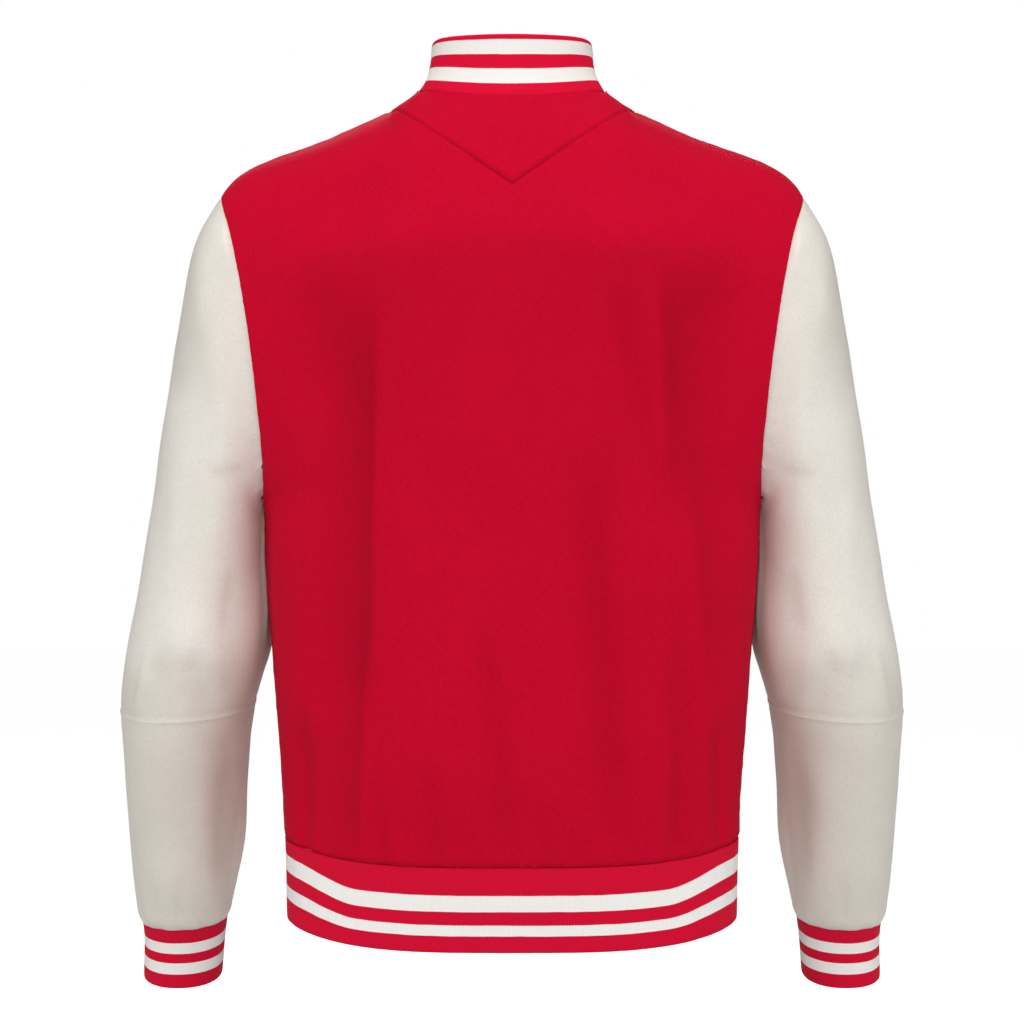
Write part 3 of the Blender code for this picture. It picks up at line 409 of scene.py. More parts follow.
# Folds run from (x, z) to (x, z) in millimetres, on the back (1) or the front (-1). A trough falls
# from its crest over steep, and comes up again slowly over soft. Way is the side of the crest it
# lies on: 1 for the wearer's left. A fold without a way is an even trough, or a ridge under 0 deep.
bodyFolds = [
    {"face": 1, "line": (175, -139, -175, -136), "way": 1, "steep": 30, "soft": 130, "depth": 5.5,
     "ends": (0.1, 0.1), "pale": 12, "crest": 9, "lee": 160, "bow": 14},
    {"face": 1, "line": (113, -185, 120, -590), "left": 21, "right": 21, "depth": -5.5},
    {"face": 1, "line": (101, -150, 101, -480), "way": 1, "steep": 24, "soft": 80, "depth": 9.5, "pale": 9},
    {"face": 1, "line": (101, -390, 116, -615), "way": 1, "steep": 18, "soft": 60, "depth": 7.0, "pale": 9},
    {"face": 1, "line": (162, -470, 157, -608), "left": 6, "right": 5, "depth": 2.4},
    {"face": 1, "line": (100, -520, 93, -608), "left": 7, "right": 4, "depth": 2.0},
    {"face": 1, "line": (60, -515, 54, -608), "left": 7, "right": 5, "depth": 1.9},
    {"face": 1, "line": (24, -400, -2, -608), "left": 9, "right": 9, "depth": 3.0, "pale": 8},
    {"face": 1, "line": (-52, -270, -80, -606), "left": 13, "right": 20, "depth": 4.2, "pale": 7},
    {"face": 1, "line": (-28, -270, -52, -606), "left": 9, "right": 9, "depth": -1.8},
    {"face": 1, "line": (-64, -140, -107, -345), "way": -1, "steep": 13, "soft": 22, "depth": 4.2,
     "pale": 10, "crest": 4, "ends": (0.3, 0.5)},
    {"face": 1, "line": (-107, -150, -112, -330), "left": 8, "right": 8, "depth": -2.2},
    {"face": 1, "line": (-129, -165, -134, -440), "left": 22, "right": 22, "depth": -4.2},
    {"face": 1, "line": (-110, -140, -117, -360), "way": -1, "steep": 22, "soft": 70, "depth": 8.0,
     "pale": 9, "crest": 2.5, "ends": (0.25, 0.6)},
    {"face": 1, "line": (-122, -230, -150, -490), "way": -1, "steep": 16, "soft": 40, "depth": 5.2,
     "pale": 9, "crest": 2.5, "ends": (0.5, 0.3)},
    {"face": 1, "line": (-112, -380, -122, -612), "way": -1, "steep": 20, "soft": 60, "depth": 5.4,
     "pale": 10, "crest": 2.5, "ends": (0.6, 0.3)},
    {"face": 1, "line": (-124, -525, -118, -608), "left": 5, "right": 7, "depth": 2.0},
    {"face": 1, "line": (-159, -475, -160, -608), "left": 5, "right": 6, "depth": 2.4},
    {"face": 1, "line": (-25, -540, -28, -608), "left": 6, "right": 6, "depth": 1.3},
    {"face": 1, "line": (108, -60, 118, -150), "left": 18, "right": 18, "depth": 1.4},
    {"face": -1, "line": (84, -180, 96, -600), "way": 1, "steep": 14, "soft": 50, "depth": 5.0},
    {"face": -1, "line": (-88, -190, -102, -600), "way": -1, "steep": 14, "soft": 50, "depth": 5.0},
    {"face": -1, "line": (48, -420, 54, -602), "left": 13, "right": 9, "depth": 2.4},
    {"face": -1, "line": (-48, -430, -56, -602), "left": 9, "right": 13, "depth": 2.3},
    {"face": -1, "line": (150, -470, 146, -602), "left": 7, "right": 6, "depth": 2.2},
    {"face": -1, "line": (-150, -480, -144, -602), "left": 6, "right": 7, "depth": 2.2},
    {"face": -1, "line": (78, -530, 76, -602), "left": 6, "right": 5, "depth": 1.6},
    {"face": -1, "line": (-80, -535, -84, -602), "left": 5, "right": 6, "depth": 1.6},
    {"face": -1, "line": (120, -535, 122, -602), "left": 6, "right": 6, "depth": 1.4},
    {"face": -1, "line": (-120, -540, -118, -602), "left": 6, "right": 6, "depth": 1.4},
]  # fmt: skip


def foldForms(points, folds, facing):  # facing is above 0 on the back and below 0 on the front
    # Gives how deep the folds are at these points, and how much painted shade darkens their lee sides.
    deep, dark = np.zeros(len(points)), np.zeros(len(points))
    for fold in folds:
        x1, z1, x2, z2 = (value / 1000 for value in fold["line"])
        line = np.array([x2 - x1, z2 - z1])
        length = np.linalg.norm(line)
        away = points[:, (0, 2)] - (x1, z1)
        along = away @ line / length
        across = away @ np.array([-line[1], line[0]]) / length * 1000
        across = across + fold.get("bow", 0) * (1 - (2 * along / length - 1) ** 2)
        if "way" in fold:
            beyond = across * fold["way"]
            crest = fold.get("crest", 1.5)
            inFold = crest * np.logaddexp(0, beyond / crest)  # rounded off at the crest
            shape = (1 - np.exp(-inFold / fold["steep"])) * ridge(inFold, fold["soft"])
            lee = smoothStep((beyond / crest + 1) / 3) * ridge(inFold, fold.get("lee", fold["steep"] * 1.25))
        else:
            shape = ridge(across, np.where(across < 0, fold["right"], fold["left"]))
            lee = shape * (fold["depth"] > 0)
        start, end = fold.get("ends", (0.3, 0.3))
        ends = smoothStep(along / (start * length)) * smoothStep((length * 1.03 - along) / (end * length))
        here = fold["depth"] * ends * smoothStep(facing * fold["face"] / 0.02 + 0.2)
        deep += here / 1000 * shape
        dark += here / fold.get("pale", 8) * lee
    return deep, dark


bodyForm = {
    "waveSize": 0.11,
    "waveHeight": 0.0005,
    "rippleSize": 0.04,
    "rippleHeight": 0.0002,
    "puckerSize": 0.013,
    "puckerHeight": 0.0002,
    "seamWidth": 0.0018,  # the groove where the cloth rolls down into a seam
    "seamDepth": 0.0014,
    "padAway": 0.005,  # the soft swelling beside it
    "padWidth": 0.004,
    "padHeight": 0.0002,
    "openEdge": 0.0175,  # how far the front edges are from the middle
    "foldsEnd": 0.028,  # folds die away over this much before a seam
    "gatherSize": 0.022,
    "gatherHeight": 0.0006,
    "fullAway": 0.010,
    "fullHeight": 0.0004,
    "neckHollow": 0.0026,
    "neckHollowWidth": 0.014,
    "foldShade": 0.46,
    "seamShade": 0.5,
    "seamShadeWidth": 0.0013,
}


def yokeHollow(points):  # the yoke lies closer beside the neck than the solid does
    across, behind = np.abs(points[:, 0]) - 0.085, points[:, 1] - 0.016
    width = bodyForm["neckHollowWidth"]
    return bodyForm["neckHollow"] * ridge(across, width) * ridge(behind, width)


def bodyPiece(node, name):
    piece = clothFrom([node], name, 1.5 if "front" in node else 2.0)
    markOuter(piece, bodyInside)
    subdivide(piece, 2)
    refineEdges(piece, 0.012)
    refineEdges(piece, 0.005)
    form = bodyForm
    sheet = Sheet(piece)
    points = sheet.at()
    edge = sheet.fromRim()
    frontEdge = sheet.fromRim(lambda p: (np.abs(p[:, 0]) < form["openEdge"]) & (p[:, 1] < -0.05))
    sewn = smoothStep(frontEdge / 0.005)  # the front edges have no seam
    pucker = uneven(points, form["puckerSize"], 8)
    waves = uneven(points, form["waveSize"], 3) * form["waveHeight"]
    ripples = uneven(points, form["rippleSize"], 5) * form["rippleHeight"]
    amount = waves + ripples - yokeHollow(points)
    held = smoothStep(sheet.fromRim(lambda p: p[:, 2] > -0.575) / form["foldsEnd"])
    deep, dark = foldForms(points, bodyFolds, points[:, 1])
    amount -= deep * held
    amount -= ridge(edge, form["seamWidth"]) * (form["seamDepth"] + form["puckerHeight"] * pucker) * sewn
    pad = ridge(edge - form["padAway"], form["padWidth"])
    amount += pad * (form["padHeight"] + form["puckerHeight"] * pucker) * sewn
    hem = sheet.fromRim(lambda p: p[:, 2] < -0.58)
    gathers = uneven(points * (1, 1, 0.12), form["gatherSize"], 11)
    full = ridge(hem - form["fullAway"], form["fullAway"])  # full above the rib
    amount += full * (form["fullHeight"] + form["gatherHeight"] * gathers)
    # Painted shade: the colour darkens on the folds' lee sides and along the seams.
    seams = ridge(edge, form["seamShadeWidth"]) * sewn
    sheet.shade(dark * held * form["foldShade"] + seams * form["seamShade"])
    sheet.push(amount)
    return piece, sheet


milledWool = woolMaterial()
bodyCuts = {
    "back_panel": {"name": "woolBack", "flat": (0.56, 0.60), "area": 0.268},
    "back_yoke": {"name": "woolYoke", "flat": (0.20, 0.10), "area": 0.0120},
    "left_front": {"name": "woolLeftFront", "flat": (0.30, 0.60), "area": 0.142},
    "right_front": {"name": "woolRightFront", "flat": (0.30, 0.60), "area": 0.142},
}
bodySheets = {}
for node, cut in bodyCuts.items():
    piece, sheet = bodyPiece(node, cut["name"])
    bodySheets[node] = sheet
    dress(piece, [node], "red_wool", milledWool, flat=cut["flat"], area=cut["area"], held="stretched")
    print(piece.name, len(piece.data.polygons), "faces,", round(sheet.area, 4), "m2")
bodyEdges = np.concatenate([sheet.rimLine() for sheet in bodySheets.values()])


# The sleeves are soft leather.

leather = {
    "light": (0.825, 0.790, 0.722, 1),
    "warm": (0.755, 0.714, 0.642, 1),
    "handled": (0.870, 0.855, 0.830, 1),  # painted shade: the forearm is darker than the upper arm, as less light falls on it
    # painted shade: the colour that the shaded sides and seams are darkened towards
    "paintedShade": (0.52, 0.46, 0.43, 1),
    "pebbleScale": 780,
    "poreScale": 2600,
    "mottleScale": 520,
    "toneScale": 22,
    "swirlScale": 300.0,
    "swirl": 0.0016,
    "forearmShadeFrom": -0.430,  # heights between which the painted forearm shade comes in
    "handledBelow": -0.490,
    "grain": 0.00028,
    "grainStrength": 0.45,
    "specular": 0.4,
}


def leatherMaterial():
    made, wire, surface = newMaterial("softLeather")
    place = wire.node("ShaderNodeTexCoord", out=3)
    swirling = {"Vector": place, "Scale": leather["swirlScale"], "Detail": 2.0}
    swirl = wire.node("ShaderNodeTexNoise", {}, swirling, out=1)
    bending = {0: swirl, 1: (leather["swirl"],) * 3, 2: place}
    bent = wire.node("ShaderNodeVectorMath", {"operation": "MULTIPLY_ADD"}, bending)
    pebble = wire.node(
        "ShaderNodeTexVoronoi",
        {"feature": "SMOOTH_F1"},
        {"Vector": bent, "Scale": leather["pebbleScale"], "Smoothness": 0.35, "Randomness": 0.9},
    )
    pore = noise(place, leather["poreScale"], 2.0, 0.6)
    tone = noise(place, leather["toneScale"], 4.0, 0.55, 0.4)
    mottle = noise(place, leather["mottleScale"], 3.0, 0.6)
    mixing = step(tone * 0.35 + mottle * 0.45 + (1 - pebble) * 0.2, 0.38, 0.66)
    colour = blendColours(mixing, leather["warm"], leather["light"])
    height = wire.node("ShaderNodeSeparateXYZ", {}, {0: place}, out=2)
    # Painted shade: darker below the elbow, its edge wavering with the tone.
    forearmShadeShare = step(height + (tone - 0.5) * 0.05, leather["forearmShadeFrom"], leather["handledBelow"])
    shade = blendColours(forearmShadeShare, (1, 1, 1, 1), leather["handled"])
    colour = withPaintedShade(wire, multiplyColours(wire, colour, shade), leather["paintedShade"])
    roughness = mottle * 0.16 + pebble * 0.10 + 0.40
    relief = (1 - pebble) * 0.8 + pore * 0.35
    finishSurface(wire, surface, colour, roughness, relief, leather["grainStrength"], leather["grain"])
    surface.inputs["Specular IOR Level"].default_value = leather["specular"]
    return made


sleeveLine = [  # the middle of the left sleeve: z, x, y
    (-0.083, 0.222, -0.001), (-0.165, 0.229, -0.009), (-0.240, 0.235, -0.0155), (-0.332, 0.242, -0.021),
    (-0.410, 0.248, -0.0235), (-0.472, 0.257, -0.028), (-0.500, 0.2606, -0.033), (-0.542, 0.262, -0.042),
    (-0.591, 0.2626, -0.052), (-0.633, 0.265, -0.0595), (-0.662, 0.267, -0.065), (-0.712, 0.270, -0.075),
]  # fmt: skip


def sleeveInside(points):
    heights, xs, ys = zip(*sleeveLine[::-1])
    x = np.interp(points[:, 2], heights, xs) * np.sign(points[:, 0])
    return np.stack([x, np.interp(points[:, 2], heights, ys), points[:, 2]], axis=1)


# Folds of the left sleeve, as on the body. The right sleeve has them mirrored.
sleeveFolds = [
    {"face": 1, "line": (223, -92, 216, -146), "left": 5, "right": 4, "depth": -2.2},
    {"face": 1, "line": (212, -142, 246, -222), "left": 11, "right": 11, "depth": 1.3},
    {"face": 1, "line": (200, -300, 236, -308), "left": 5, "right": 9, "depth": 1.1},
    {"face": 1, "line": (270, -290, 276, -440), "left": 12, "right": 9, "depth": 1.0},
    {"face": 1, "line": (226, -457, 286, -465), "left": 16, "right": 26, "depth": 2.9, "pale": 16},
    {"face": 1, "line": (243, -436, 250, -464), "left": 6, "right": 7, "depth": 0.7},
    {"face": 1, "line": (281, -434, 296, -498), "left": 4, "right": 5, "depth": -1.9},
    {"face": 1, "line": (224, -495, 216, -656), "left": 15, "right": 8, "depth": 4.6,
     "ends": (0.4, 0.12), "pale": 16},
    {"face": 1, "line": (262, -615, 264, -660), "left": 5, "right": 6, "depth": 1.0, "ends": (0.5, 0.1)},
    {"face": 1, "line": (288, -625, 286, -660), "left": 5, "right": 5, "depth": 0.9, "ends": (0.5, 0.1)},
    {"face": 1, "line": (214, -372, 222, -430), "left": 6, "right": 8, "depth": 1.2},
    {"face": -1, "line": (224, -140, 258, -250), "left": 11, "right": 9, "depth": 1.5},
    {"face": -1, "line": (214, -402, 262, -424), "left": 6, "right": 9, "depth": 2.0},
    {"face": -1, "line": (212, -436, 268, -446), "left": 5, "right": 9, "depth": 2.2},
    {"face": -1, "line": (216, -470, 256, -472), "left": 6, "right": 8, "depth": 1.6},
    {"face": -1, "line": (222, -505, 262, -516), "left": 6, "right": 9, "depth": 1.3},
    {"face": -1, "line": (246, -540, 240, -652), "left": 7, "right": 6, "depth": 2.0, "ends": (0.4, 0.15)},
    {"face": -1, "line": (276, -610, 274, -660), "left": 6, "right": 5, "depth": 1.1, "ends": (0.5, 0.1)},
]  # fmt: skip


sleeveForm = {
    "armRadius": 0.055,
    "waveSize": 0.09,
    "waveHeight": 0.0006,
    "rippleSize": 0.032,
    "rippleHeight": 0.0002,
    "puckerSize": 0.012,
    "seamDepth": 0.0005,
    "underarmWidth": 0.0012,
    "underarmHeight": 0.0004,
    "fills": 0.0032,  # how far the sleeve fills out against the body below the armhole
    "fillsMost": 0.0018,
    "fillWidth": 0.045,
    "gatherSize": 0.014,
    "gatherHeight": 0.0007,
    "foldShade": 0.28,
    "innerShade": 0.6,  # the side that the body shades
    "upperShade": 0.22,
    "seamShade": 0.4,
    "seamShadeWidth": 0.0012,
    "creaseHighlightWidth": 0.0055,
    "creaseHighlightHeight": -0.119,
}


def armAngle(points):
    middle = sleeveInside(points)
    inward = (middle[:, 0] - points[:, 0]) * np.sign(points[:, 0])
    return np.degrees(np.arctan2(points[:, 1] - middle[:, 1], inward)) % 360


def sleevePiece(nodes, name, line):
    piece = clothFrom(nodes, name)
    markOuter(piece, sleeveInside)
    subdivide(piece, 3)
    refineEdges(piece, 0.006)
    form = sleeveForm
    sheet = Sheet(piece)
    points = sheet.at()
    here = points * (np.sign(points[0, 0]), 1, 1)
    height = here[:, 2]
    pucker = uneven(here, form["puckerSize"], 25)
    waves = uneven(here, form["waveSize"], 21) * form["waveHeight"]
    amount = waves + uneven(here, form["rippleSize"], 23) * form["rippleHeight"]
    deep, dark = foldForms(here, sleeveFolds, here[:, 1] - sleeveInside(here)[:, 1])
    amount -= deep
    armhole = sheet.fromRim(lambda p: p[:, 2] > -0.36)
    amount -= ridge(armhole, 0.002) * (form["seamDepth"] + 0.0002 * pucker)
    amount += ridge(armhole - 0.005, 0.004) * (0.0002 + 0.00035 * pucker)
    elbow = sheet.fromRim(lambda p: (p[:, 2] < -0.42) & (p[:, 2] > -0.56))
    amount += ridge(elbow, 0.0012) * 0.0005 - ridge(elbow - 0.0038, 0.0026) * 0.0004
    arm = armAngle(points)
    underarm = np.radians((arm + 180) % 360 - 180) * form["armRadius"]  # the seam along the inner side
    raised = ridge(underarm, form["underarmWidth"]) * form["underarmHeight"]
    amount += raised - ridge(np.abs(underarm) - 0.004, 0.003) * 0.0003
    beside = smoothStep((-0.316 - height) / 0.02) * smoothStep((height + 0.475) / 0.06)
    fills = form["fills"] + form["fillsMost"] * ridge(height + 0.342, 0.018)
    amount += ridge(underarm, form["fillWidth"]) * beside * fills
    wrist = sheet.fromRim(lambda p: p[:, 2] < -0.64)
    gathers = uneven(here * (1, 1, 0.15), form["gatherSize"], 27)
    amount += ridge(wrist, 0.016) * form["gatherHeight"] * gathers + ridge(wrist - 0.008, 0.008) * 0.0008
    amount -= ridge(wrist, 0.002) * 0.0006
    # Painted shade: the inner side that the body shades, the top of the sleeve and the seams are darkened in
    # colour.
    inner = smoothStep((0.041 - np.abs(underarm)) / 0.014) * smoothStep((-0.335 - height) / 0.08)
    inner *= smoothStep((height + 0.475) / 0.05)
    upper = smoothStep((height + 0.27) / 0.08) * form["upperShade"]
    fromCreaseHighlight = height - form["creaseHighlightHeight"]  # painted highlight: a crease below the shoulder is kept out of the painted shade on the top
    creaseHighlight = ridge(here[:, 0] - 0.224 - fromCreaseHighlight * 0.37, form["creaseHighlightWidth"]) * ridge(fromCreaseHighlight, 0.017)
    seams = ridge(armhole, form["seamShadeWidth"]) + ridge(wrist, form["seamShadeWidth"])
    shaded = dark * form["foldShade"] + inner * form["innerShade"]
    sheet.shade(shaded + upper * (1 - creaseHighlight) + seams * form["seamShade"])
    sheet.push(amount)
    sheet.sewTo(line)
    return piece, sheet


softLeather = leatherMaterial()
sleeveCuts = {
    "upper_sleeve": {"name": "UpperSleeve", "flat": (0.40, 0.41), "area": 0.113},
    "lower_sleeve": {"name": "LowerSleeve", "flat": (0.33, 0.20), "area": 0.055},
}
for side in ("left", "right"):
    seamLine = bodyEdges
    for part, cut in sleeveCuts.items():
        halves = [f"{side}_{part}_back", f"{side}_{part}_front"]
        piece, sheet = sleevePiece(halves, side + cut["name"], seamLine)
        seamLine = sheet.rimLine()
        dress(piece, halves, "cream_leather", softLeather, flat=cut["flat"], area=cut["area"], held="stretched")
        print(piece.name, len(piece.data.polygons), "faces,", round(sheet.area, 4), "m2")


# The ribs are striped knit.

knit = {
    "red": (0.710, 0.0012, 0.034, 1),
    # the shade colours are painted shade, down between the wales and stitches
    "redShade": (0.620, 0.0010, 0.027, 1),
    "white": (0.950, 0.935, 0.900, 1),
    "whiteShade": (0.890, 0.872, 0.826, 1),
    "wale": 0.0017,  # across one column of stitches
    "course": 0.0012,  # one row of stitches
    "relief": 0.0004,
    "reliefStrength": 0.45,
    "fuzzScale": 1900,
    "driftScale": 60,
    "specular": 0.1,
}
ribs = {
    "hem_rib": {
        "name": "hemRib", "seamUp": True, "height": 0.063, "fold": 0.0013, "ripple": 0.0004,
        "white": ((0.324, 0.512), (0.673, 0.801)), "flat": (1.06, 0.066), "rising": 0.27,
    },
    # the collar's white gets painted shade, to look less lit than on the other ribs
    "collar_rib": {
        "name": "collarRib", "seamUp": False, "height": 0.043, "fold": 0.0016, "ripple": 0.0002,
        "white": ((0.196, 0.453), (0.678, 0.913)), "flat": (0.45, 0.046), "rise": 0.0020, "paintedWhiteShade": 0.10,
    },
    "left_cuff": {
        "name": "leftCuffRib", "seamUp": True, "height": 0.052, "fold": 0.0013, "ripple": 0.0003,
        "white": ((0.24, 0.42), (0.58, 0.765)), "flat": (0.215, 0.052),
    },
    "right_cuff": {
        "name": "rightCuffRib", "seamUp": True, "height": 0.052, "fold": 0.0013, "ripple": 0.0003,
        "white": ((0.24, 0.42), (0.58, 0.765)), "flat": (0.215, 0.052),
    },
}  # fmt: skip


def ribMaterial(rib):
    # The map holds the way round in metres, and the share of the way from the seam to the free edge.
    made, wire, surface = newMaterial(rib["name"] + "Knit")
    spot = wire.node("ShaderNodeUVMap", {"uv_map": "knit"})
    around = wire.node("ShaderNodeSeparateXYZ", {}, {0: spot})
    up = wire.node("ShaderNodeSeparateXYZ", {}, {0: spot}, out=1)
    place = wire.node("ShaderNodeTexCoord", out=3)
    fuzz = noise(place, knit["fuzzScale"], 3.0, 0.6)
    drift = noise(place, knit["driftScale"], 2.0)
    turn = (around / knit["wale"] + drift * 0.35) * (2 * math.pi)
    wale = wave(turn) * 0.5 + 0.5
    lean = wave(wave(turn * 0.5, "SINE"), "ABSOLUTE")
    stitch = wave((up * (rib["height"] / knit["course"]) + lean * 0.8) * (2 * math.pi)) * 0.5 + 0.5
    if "rising" in rib:  # the stripes sit higher towards the sides
        side = wire.node("ShaderNodeSeparateXYZ", {}, {0: place})
        behind = wire.node("ShaderNodeSeparateXYZ", {}, {0: place}, out=1)
        atSide = step(wave(side, "ABSOLUTE"), 0.115, 0.165) * step(behind, -0.02, 0.04)
        up = up + atSide * (1 - up) * (up * 0.7 + 0.55) * rib["rising"]
    edge = up + (wale - 0.5) * (0.0002 / rib["height"]) + (drift - 0.5) * (0.0006 / rib["height"])
    soft = 0.00025 / rib["height"]
    (from1, to1), (from2, to2) = rib["white"]
    stripes = step(edge, from1 - soft, from1 + soft) - step(edge, to1 - soft, to1 + soft)
    stripes = stripes + step(edge, from2 - soft, from2 + soft) - step(edge, to2 - soft, to2 + soft)
    # Partly painted shade, darker down between the wales and stitches, and partly random tone from the fuzz.
    depth = step(wale * 0.45 + stitch * 0.2 + fuzz * 0.35, 0.15, 0.8)
    red = blendColours(depth, knit["redShade"], knit["red"])
    white = blendColours(depth, knit["whiteShade"], knit["white"])
    # Painted shade: the collar's white is dimmed by this share, to look less lit than on the other ribs.
    paintedWhiteShade = 1 - rib.get("paintedWhiteShade", 0)
    white = multiplyColours(wire, white, (paintedWhiteShade, paintedWhiteShade, paintedWhiteShade, 1))
    colour = blendColours(stripes, red, white)
    height = wale * 0.7 + stitch * 0.22 + fuzz * 0.25
    finishSurface(wire, surface, colour, fuzz * 0.1 + 0.8, height, knit["reliefStrength"], knit["relief"])
    surface.inputs["Specular IOR Level"].default_value = knit["specular"]
    return made


def knitMap(piece, rib):
    # Climbs every column of the rib from its seam, and returns the edges of the fold at its far end.
    work = bmesh.new()
    work.from_mesh(piece.data)
    outer = work.verts.layers.float["outer"]
    layer = work.loops.layers.uv.new("knit")
    way = 1 if rib["seamUp"] else -1
    walls = [face for face in work.faces if len({vert[outer] > 0.5 for vert in face.verts}) == 2]
    strips = [group for group in faceGroups(walls) if len(group) > 12]
    heights = [way * sum(face.calc_center_median().z for face in strip) / len(strip) for strip in strips]
    seam = {vert for face in strips[heights.index(max(heights))] for vert in face.verts}
    column, height, level, last = {v: v for v in seam}, dict.fromkeys(seam, 0.0), dict.fromkeys(seam, 0), {}
    todo = list(seam)
    while todo:
        found = []
        for vert in todo:
            last[column[vert]] = vert
            for edge in vert.link_edges:
                other = edge.other_vert(vert)
                if other not in column:
                    column[other], level[other] = column[vert], level[vert] + 1
                    height[other] = height[vert] + edge.calc_length()
                    found.append(other)
        todo = found
    links = {}  # neighbours along the outer edge of the seam
    for edge in work.edges:
        a, b = edge.verts
        if a in seam and b in seam and a[outer] > 0.5 and b[outer] > 0.5:
            links.setdefault(a, []).append(b)
            links.setdefault(b, []).append(a)
    ends = [vert for vert, beside in links.items() if len(beside) == 1]
    start = min(ends, key=lambda v: v.co.x) if ends else min(links, key=lambda v: abs(v.co.x))
    around, here = {start: 0.0}, start
    while True:
        ahead = [vert for vert in links[here] if vert not in around]
        if not ahead:
            break
        around[ahead[0]] = around[here] + (ahead[0].co - here.co).length
        here = ahead[0]
    total = around[here] + (0 if ends else (start.co - here.co).length)
    for vert in seam - set(around):
        beside = [edge.other_vert(vert) for edge in vert.link_edges]
        around[vert] = min(around[other] for other in beside if other in links)
    whole = round(total / knit["wale"]) * knit["wale"] / total  # a whole number of columns goes round
    for face in work.faces:
        spots = [around[column[vert]] for vert in face.verts]
        wraps = not ends and max(spots) - min(spots) > total / 2
        for loop, spot in zip(face.loops, spots):
            share = height[loop.vert] / height[last[column[loop.vert]]]
            loop[layer].uv = ((spot + (total if wraps and spot < total / 2 else 0)) * whole, share)
    top = max(level.values())
    work.edges.index_update()
    fold = []
    for edge in work.edges:
        a, b = edge.verts
        if level[a] == level[b] == top and (a[outer] > 0.5) == (b[outer] > 0.5) and not edge.smooth:
            fold.append(edge.index)
    work.to_mesh(piece.data)
    work.free()
    return fold


def roundFold(piece, edges, width):
    only(piece)
    bpy.ops.object.mode_set(mode="EDIT")
    bpy.ops.mesh.select_mode(type="EDGE")
    bpy.ops.mesh.select_all(action="DESELECT")
    bpy.ops.object.mode_set(mode="OBJECT")
    for index in edges:
        piece.data.edges[index].select = True
    bpy.ops.object.mode_set(mode="EDIT")
    bpy.ops.mesh.bevel(offset=width, segments=2, affect="EDGES")
    bpy.ops.mesh.select_mode(type="VERT")
    bpy.ops.object.mode_set(mode="OBJECT")


def bandInside(points):
    return np.stack([points[:, 0] * 0.3, points[:, 1] * 0 - 0.01, points[:, 2]], axis=1)


def ribPiece(node, rib):
    inside = sleeveInside if "cuff" in node else bandInside
    piece = clothFrom([node], rib["name"], sharp=32)
    markOuter(piece, inside, 0.6)
    fold = knitMap(piece, rib)
    roundFold(piece, fold, rib["fold"])
    subdivide(piece, 3)
    points = readPoints(piece)
    away = points - inside(points)
    away[:, 2] = 0
    fromSeam = np.abs(points[:, 2] - (points[:, 2].max() if rib["seamUp"] else points[:, 2].min()))
    amount = uneven(points * (1, 1, 0.1), 0.016, 31) * rib["ripple"] * (0.4 + ridge(fromSeam, 0.02))
    points = points + directions(away) * amount[:, None]
    points[:, 2] += rib.get("rise", 0) * smoothStep(points[:, 2] / 0.03)  # fuller at the back of the neck
    writePoints(piece, points if rib["seamUp"] else drawTo(points, bodyEdges))
    return piece


for node, rib in ribs.items():
    piece = ribPiece(node, rib)
    dress(piece, [node], "striped_rib", ribMaterial(rib), flat=rib["flat"], held="stretched")
    print(piece.name, len(piece.data.polygons), "faces")


# Seven snaps close the front.

snap = {
    "radius": 0.0075,
    "height": 0.0016,
    "steps": [  # inwards, then up
        (0.0007, 0.0005), (0.0011, 0.0001), (0.0004, -0.0006), (0.0006, -0.0001),
        (0.0005, 0.0005), (0.0013, 0.0004), (0.0012, 0.0002), (0.0009, 0.0001),
    ],
    "enamel": (0.74, 0.71, 0.63, 1),
    "worn": (0.60, 0.56, 0.47, 1),
    "mottleScale": 380,
    "fineScale": 2400,
    "relief": 0.0001,
    "reliefStrength": 0.15,
    "round": 0.00016,
}  # fmt: skip


def enamelMaterial():
    made, wire, surface = newMaterial("snapEnamel")
    place = wire.node("ShaderNodeTexCoord", out=3)
    mottle = noise(place, snap["mottleScale"], 4.0, 0.6)
    fine = noise(place, snap["fineScale"], 2.0)
    colour = blendColours(step(mottle, 0.35, 0.6), snap["worn"], snap["enamel"])
    roughness = mottle * 0.12 + 0.2
    finishSurface(wire, surface, colour, roughness, fine + mottle, snap["reliefStrength"], snap["relief"])
    return made


def snapCap():
    bpy.ops.object.select_all(action="DESELECT")
    bpy.ops.mesh.primitive_cylinder_add(vertices=48, radius=snap["radius"], depth=snap["height"])
    cap = bpy.context.object
    cap.data.name = "snapCap"
    bpy.ops.object.mode_set(mode="EDIT")
    bpy.ops.mesh.select_mode(type="FACE")
    bpy.ops.mesh.select_all(action="DESELECT")
    bpy.ops.object.mode_set(mode="OBJECT")
    for face in cap.data.polygons:
        face.select = face.normal.z > 0.9
    bpy.ops.object.mode_set(mode="EDIT")
    for inward, rise in snap["steps"]:
        bpy.ops.mesh.inset(thickness=inward)
        bpy.ops.transform.translate(value=(0, 0, rise))
    bpy.ops.mesh.select_mode(type="VERT")
    bpy.ops.object.mode_set(mode="OBJECT")
    limit = math.radians(28)
    applyModifier(cap, "BEVEL", width=snap["round"], segments=2, limit_method="ANGLE", angle_limit=limit)
    cap.data.transform(Matrix.Translation((0, 0, snap["height"] / 2)))
    return cap


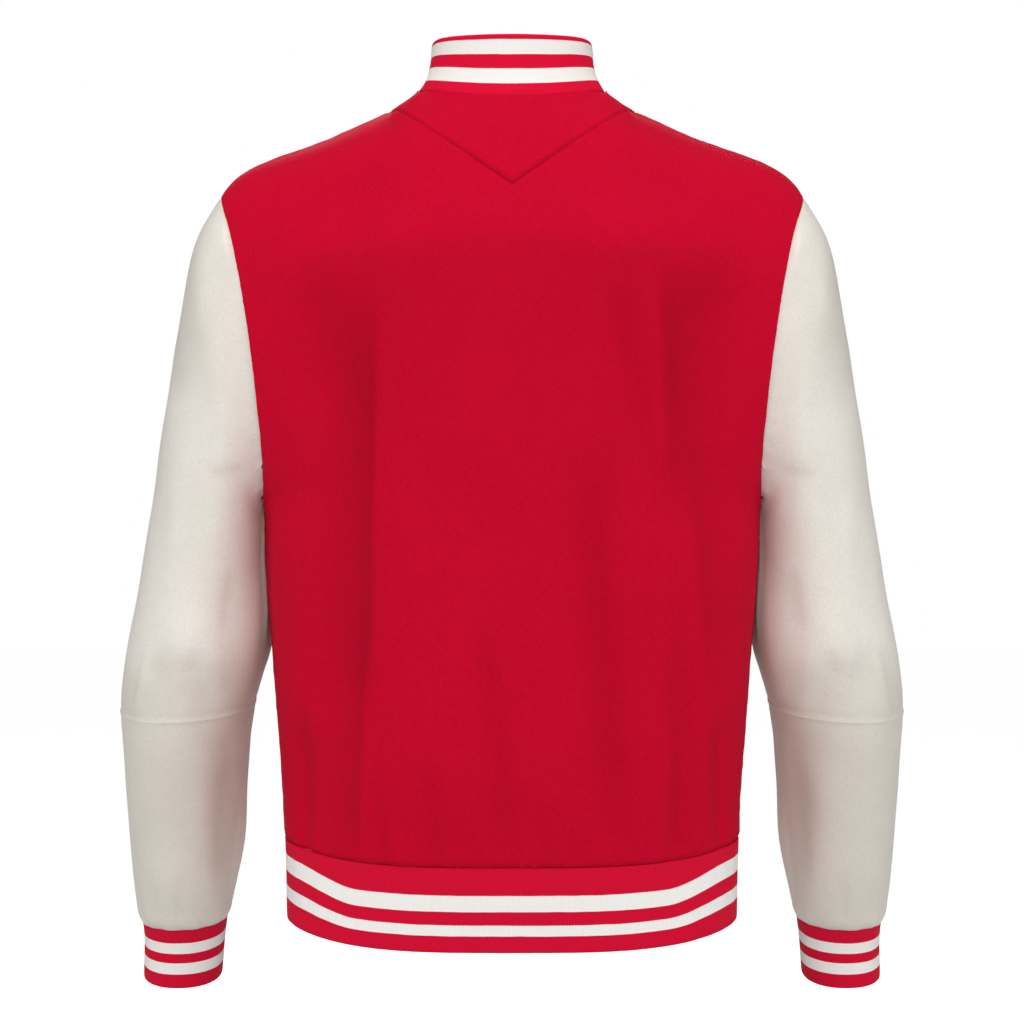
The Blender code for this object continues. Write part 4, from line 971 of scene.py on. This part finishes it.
enamel = enamelMaterial()
cap = snapCap()
for number in range(1, 8):
    node = f"snap_{number}"
    points = np.array([v.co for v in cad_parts[node].data.vertices])
    middle = points.mean(axis=0)
    _, _, axes = np.linalg.svd(points - middle, full_matrices=False)
    way = Vector(axes[2] if axes[2][1] < 0 else -axes[2])
    base = Vector(middle) + way * float(min((points - middle) @ np.array(way)))
    piece = cap.copy()
    piece.data = cap.data.copy()
    piece.name = f"snapCap{number}"
    bpy.context.scene.collection.objects.link(piece)
    piece.data.transform(Matrix.Translation(base) @ way.to_track_quat("Z", "Y").to_matrix().to_4x4())
    dress(piece, [node], "cream_enamel", enamel)
bpy.data.objects.remove(cap)
print("snaps placed")


# Floor, lights and camera.

studio = {
    "floorHeight": -1.35,
    "floorSize": 30,
    "floorGlow": 0.7,
    "cameraDistance": 1.85,
    "cameraHeight": -0.333,
    "lens": 82.3,
    "sensor": 36,
    "lampsFace": (0, 0, -0.3),
    "fill": 0.32,
    "lamps": [
        ("keyLamp", (0.0, 3.2, 1.4), 1.3, 45),
        ("lowLamp", (0.0, 3.2, -1.1), 1.5, 36),
        ("topLamp", (0.0, 0.5, 2.2), 1.2, 20),
        ("leftLamp", (2.3, 0.8, 0.2), 1.2, 12),
        ("rightLamp", (-2.3, 0.8, 0.2), 1.2, 12),
        ("frontLamp", (0.3, -3.2, 1.3), 1.5, 60),
    ],
}


def makeStudio():
    bpy.ops.object.select_all(action="DESELECT")
    bpy.ops.mesh.primitive_plane_add(size=studio["floorSize"], location=(0, 0, studio["floorHeight"]))
    floor = bpy.context.object
    floor.name = "studioFloor"
    pale, _, surface = newMaterial("paleFloor")
    surface.inputs["Base Color"].default_value = (0.9, 0.9, 0.9, 1)
    surface.inputs["Roughness"].default_value = 0.9
    surface.inputs["Specular IOR Level"].default_value = 0.1
    surface.inputs["Emission Color"].default_value = (1, 1, 1, 1)
    surface.inputs["Emission Strength"].default_value = studio["floorGlow"]
    floor.data.materials.append(pale)
    floor.visible_diffuse = False  # the white floor throws no light up at the cloth
    world = bpy.data.worlds.new("studioWorld")
    bpy.context.scene.world = world
    world.use_nodes = True
    sky = Wire(world.node_tree)
    seen = sky.node("ShaderNodeLightPath", out=0)  # white behind the jacket, and a soft fill on it
    background = world.node_tree.nodes["Background"]
    background.inputs["Color"].default_value = (1, 1, 1, 1)
    strength = seen * (1 - studio["fill"]) + studio["fill"]
    sky.tree.links.new(strength.socket, background.inputs["Strength"])
    for name, place, size, power in studio["lamps"]:
        data = bpy.data.lights.new(name, "AREA")
        data.shape = "DISK"
        data.size = size
        data.energy = power
        lamp = bpy.data.objects.new(name, data)
        bpy.context.scene.collection.objects.link(lamp)
        lamp.location = place
        fromJacket = Vector(place) - Vector(studio["lampsFace"])
        lamp.rotation_euler = fromJacket.to_track_quat("Z", "Y").to_euler()


def addCamera():
    data = bpy.data.cameras.new("viewCamera")
    data.lens = studio["lens"]
    data.sensor_width = studio["sensor"]
    camera = bpy.data.objects.new("viewCamera", data)
    bpy.context.scene.collection.objects.link(camera)
    camera.location = (0, studio["cameraDistance"], studio["cameraHeight"])
    camera.rotation_euler = (math.pi / 2, 0, math.pi)
    bpy.context.scene.camera = camera


makeStudio()
addCamera()
bpy.context.scene.view_settings.view_transform = "Standard"
print("studio ready")
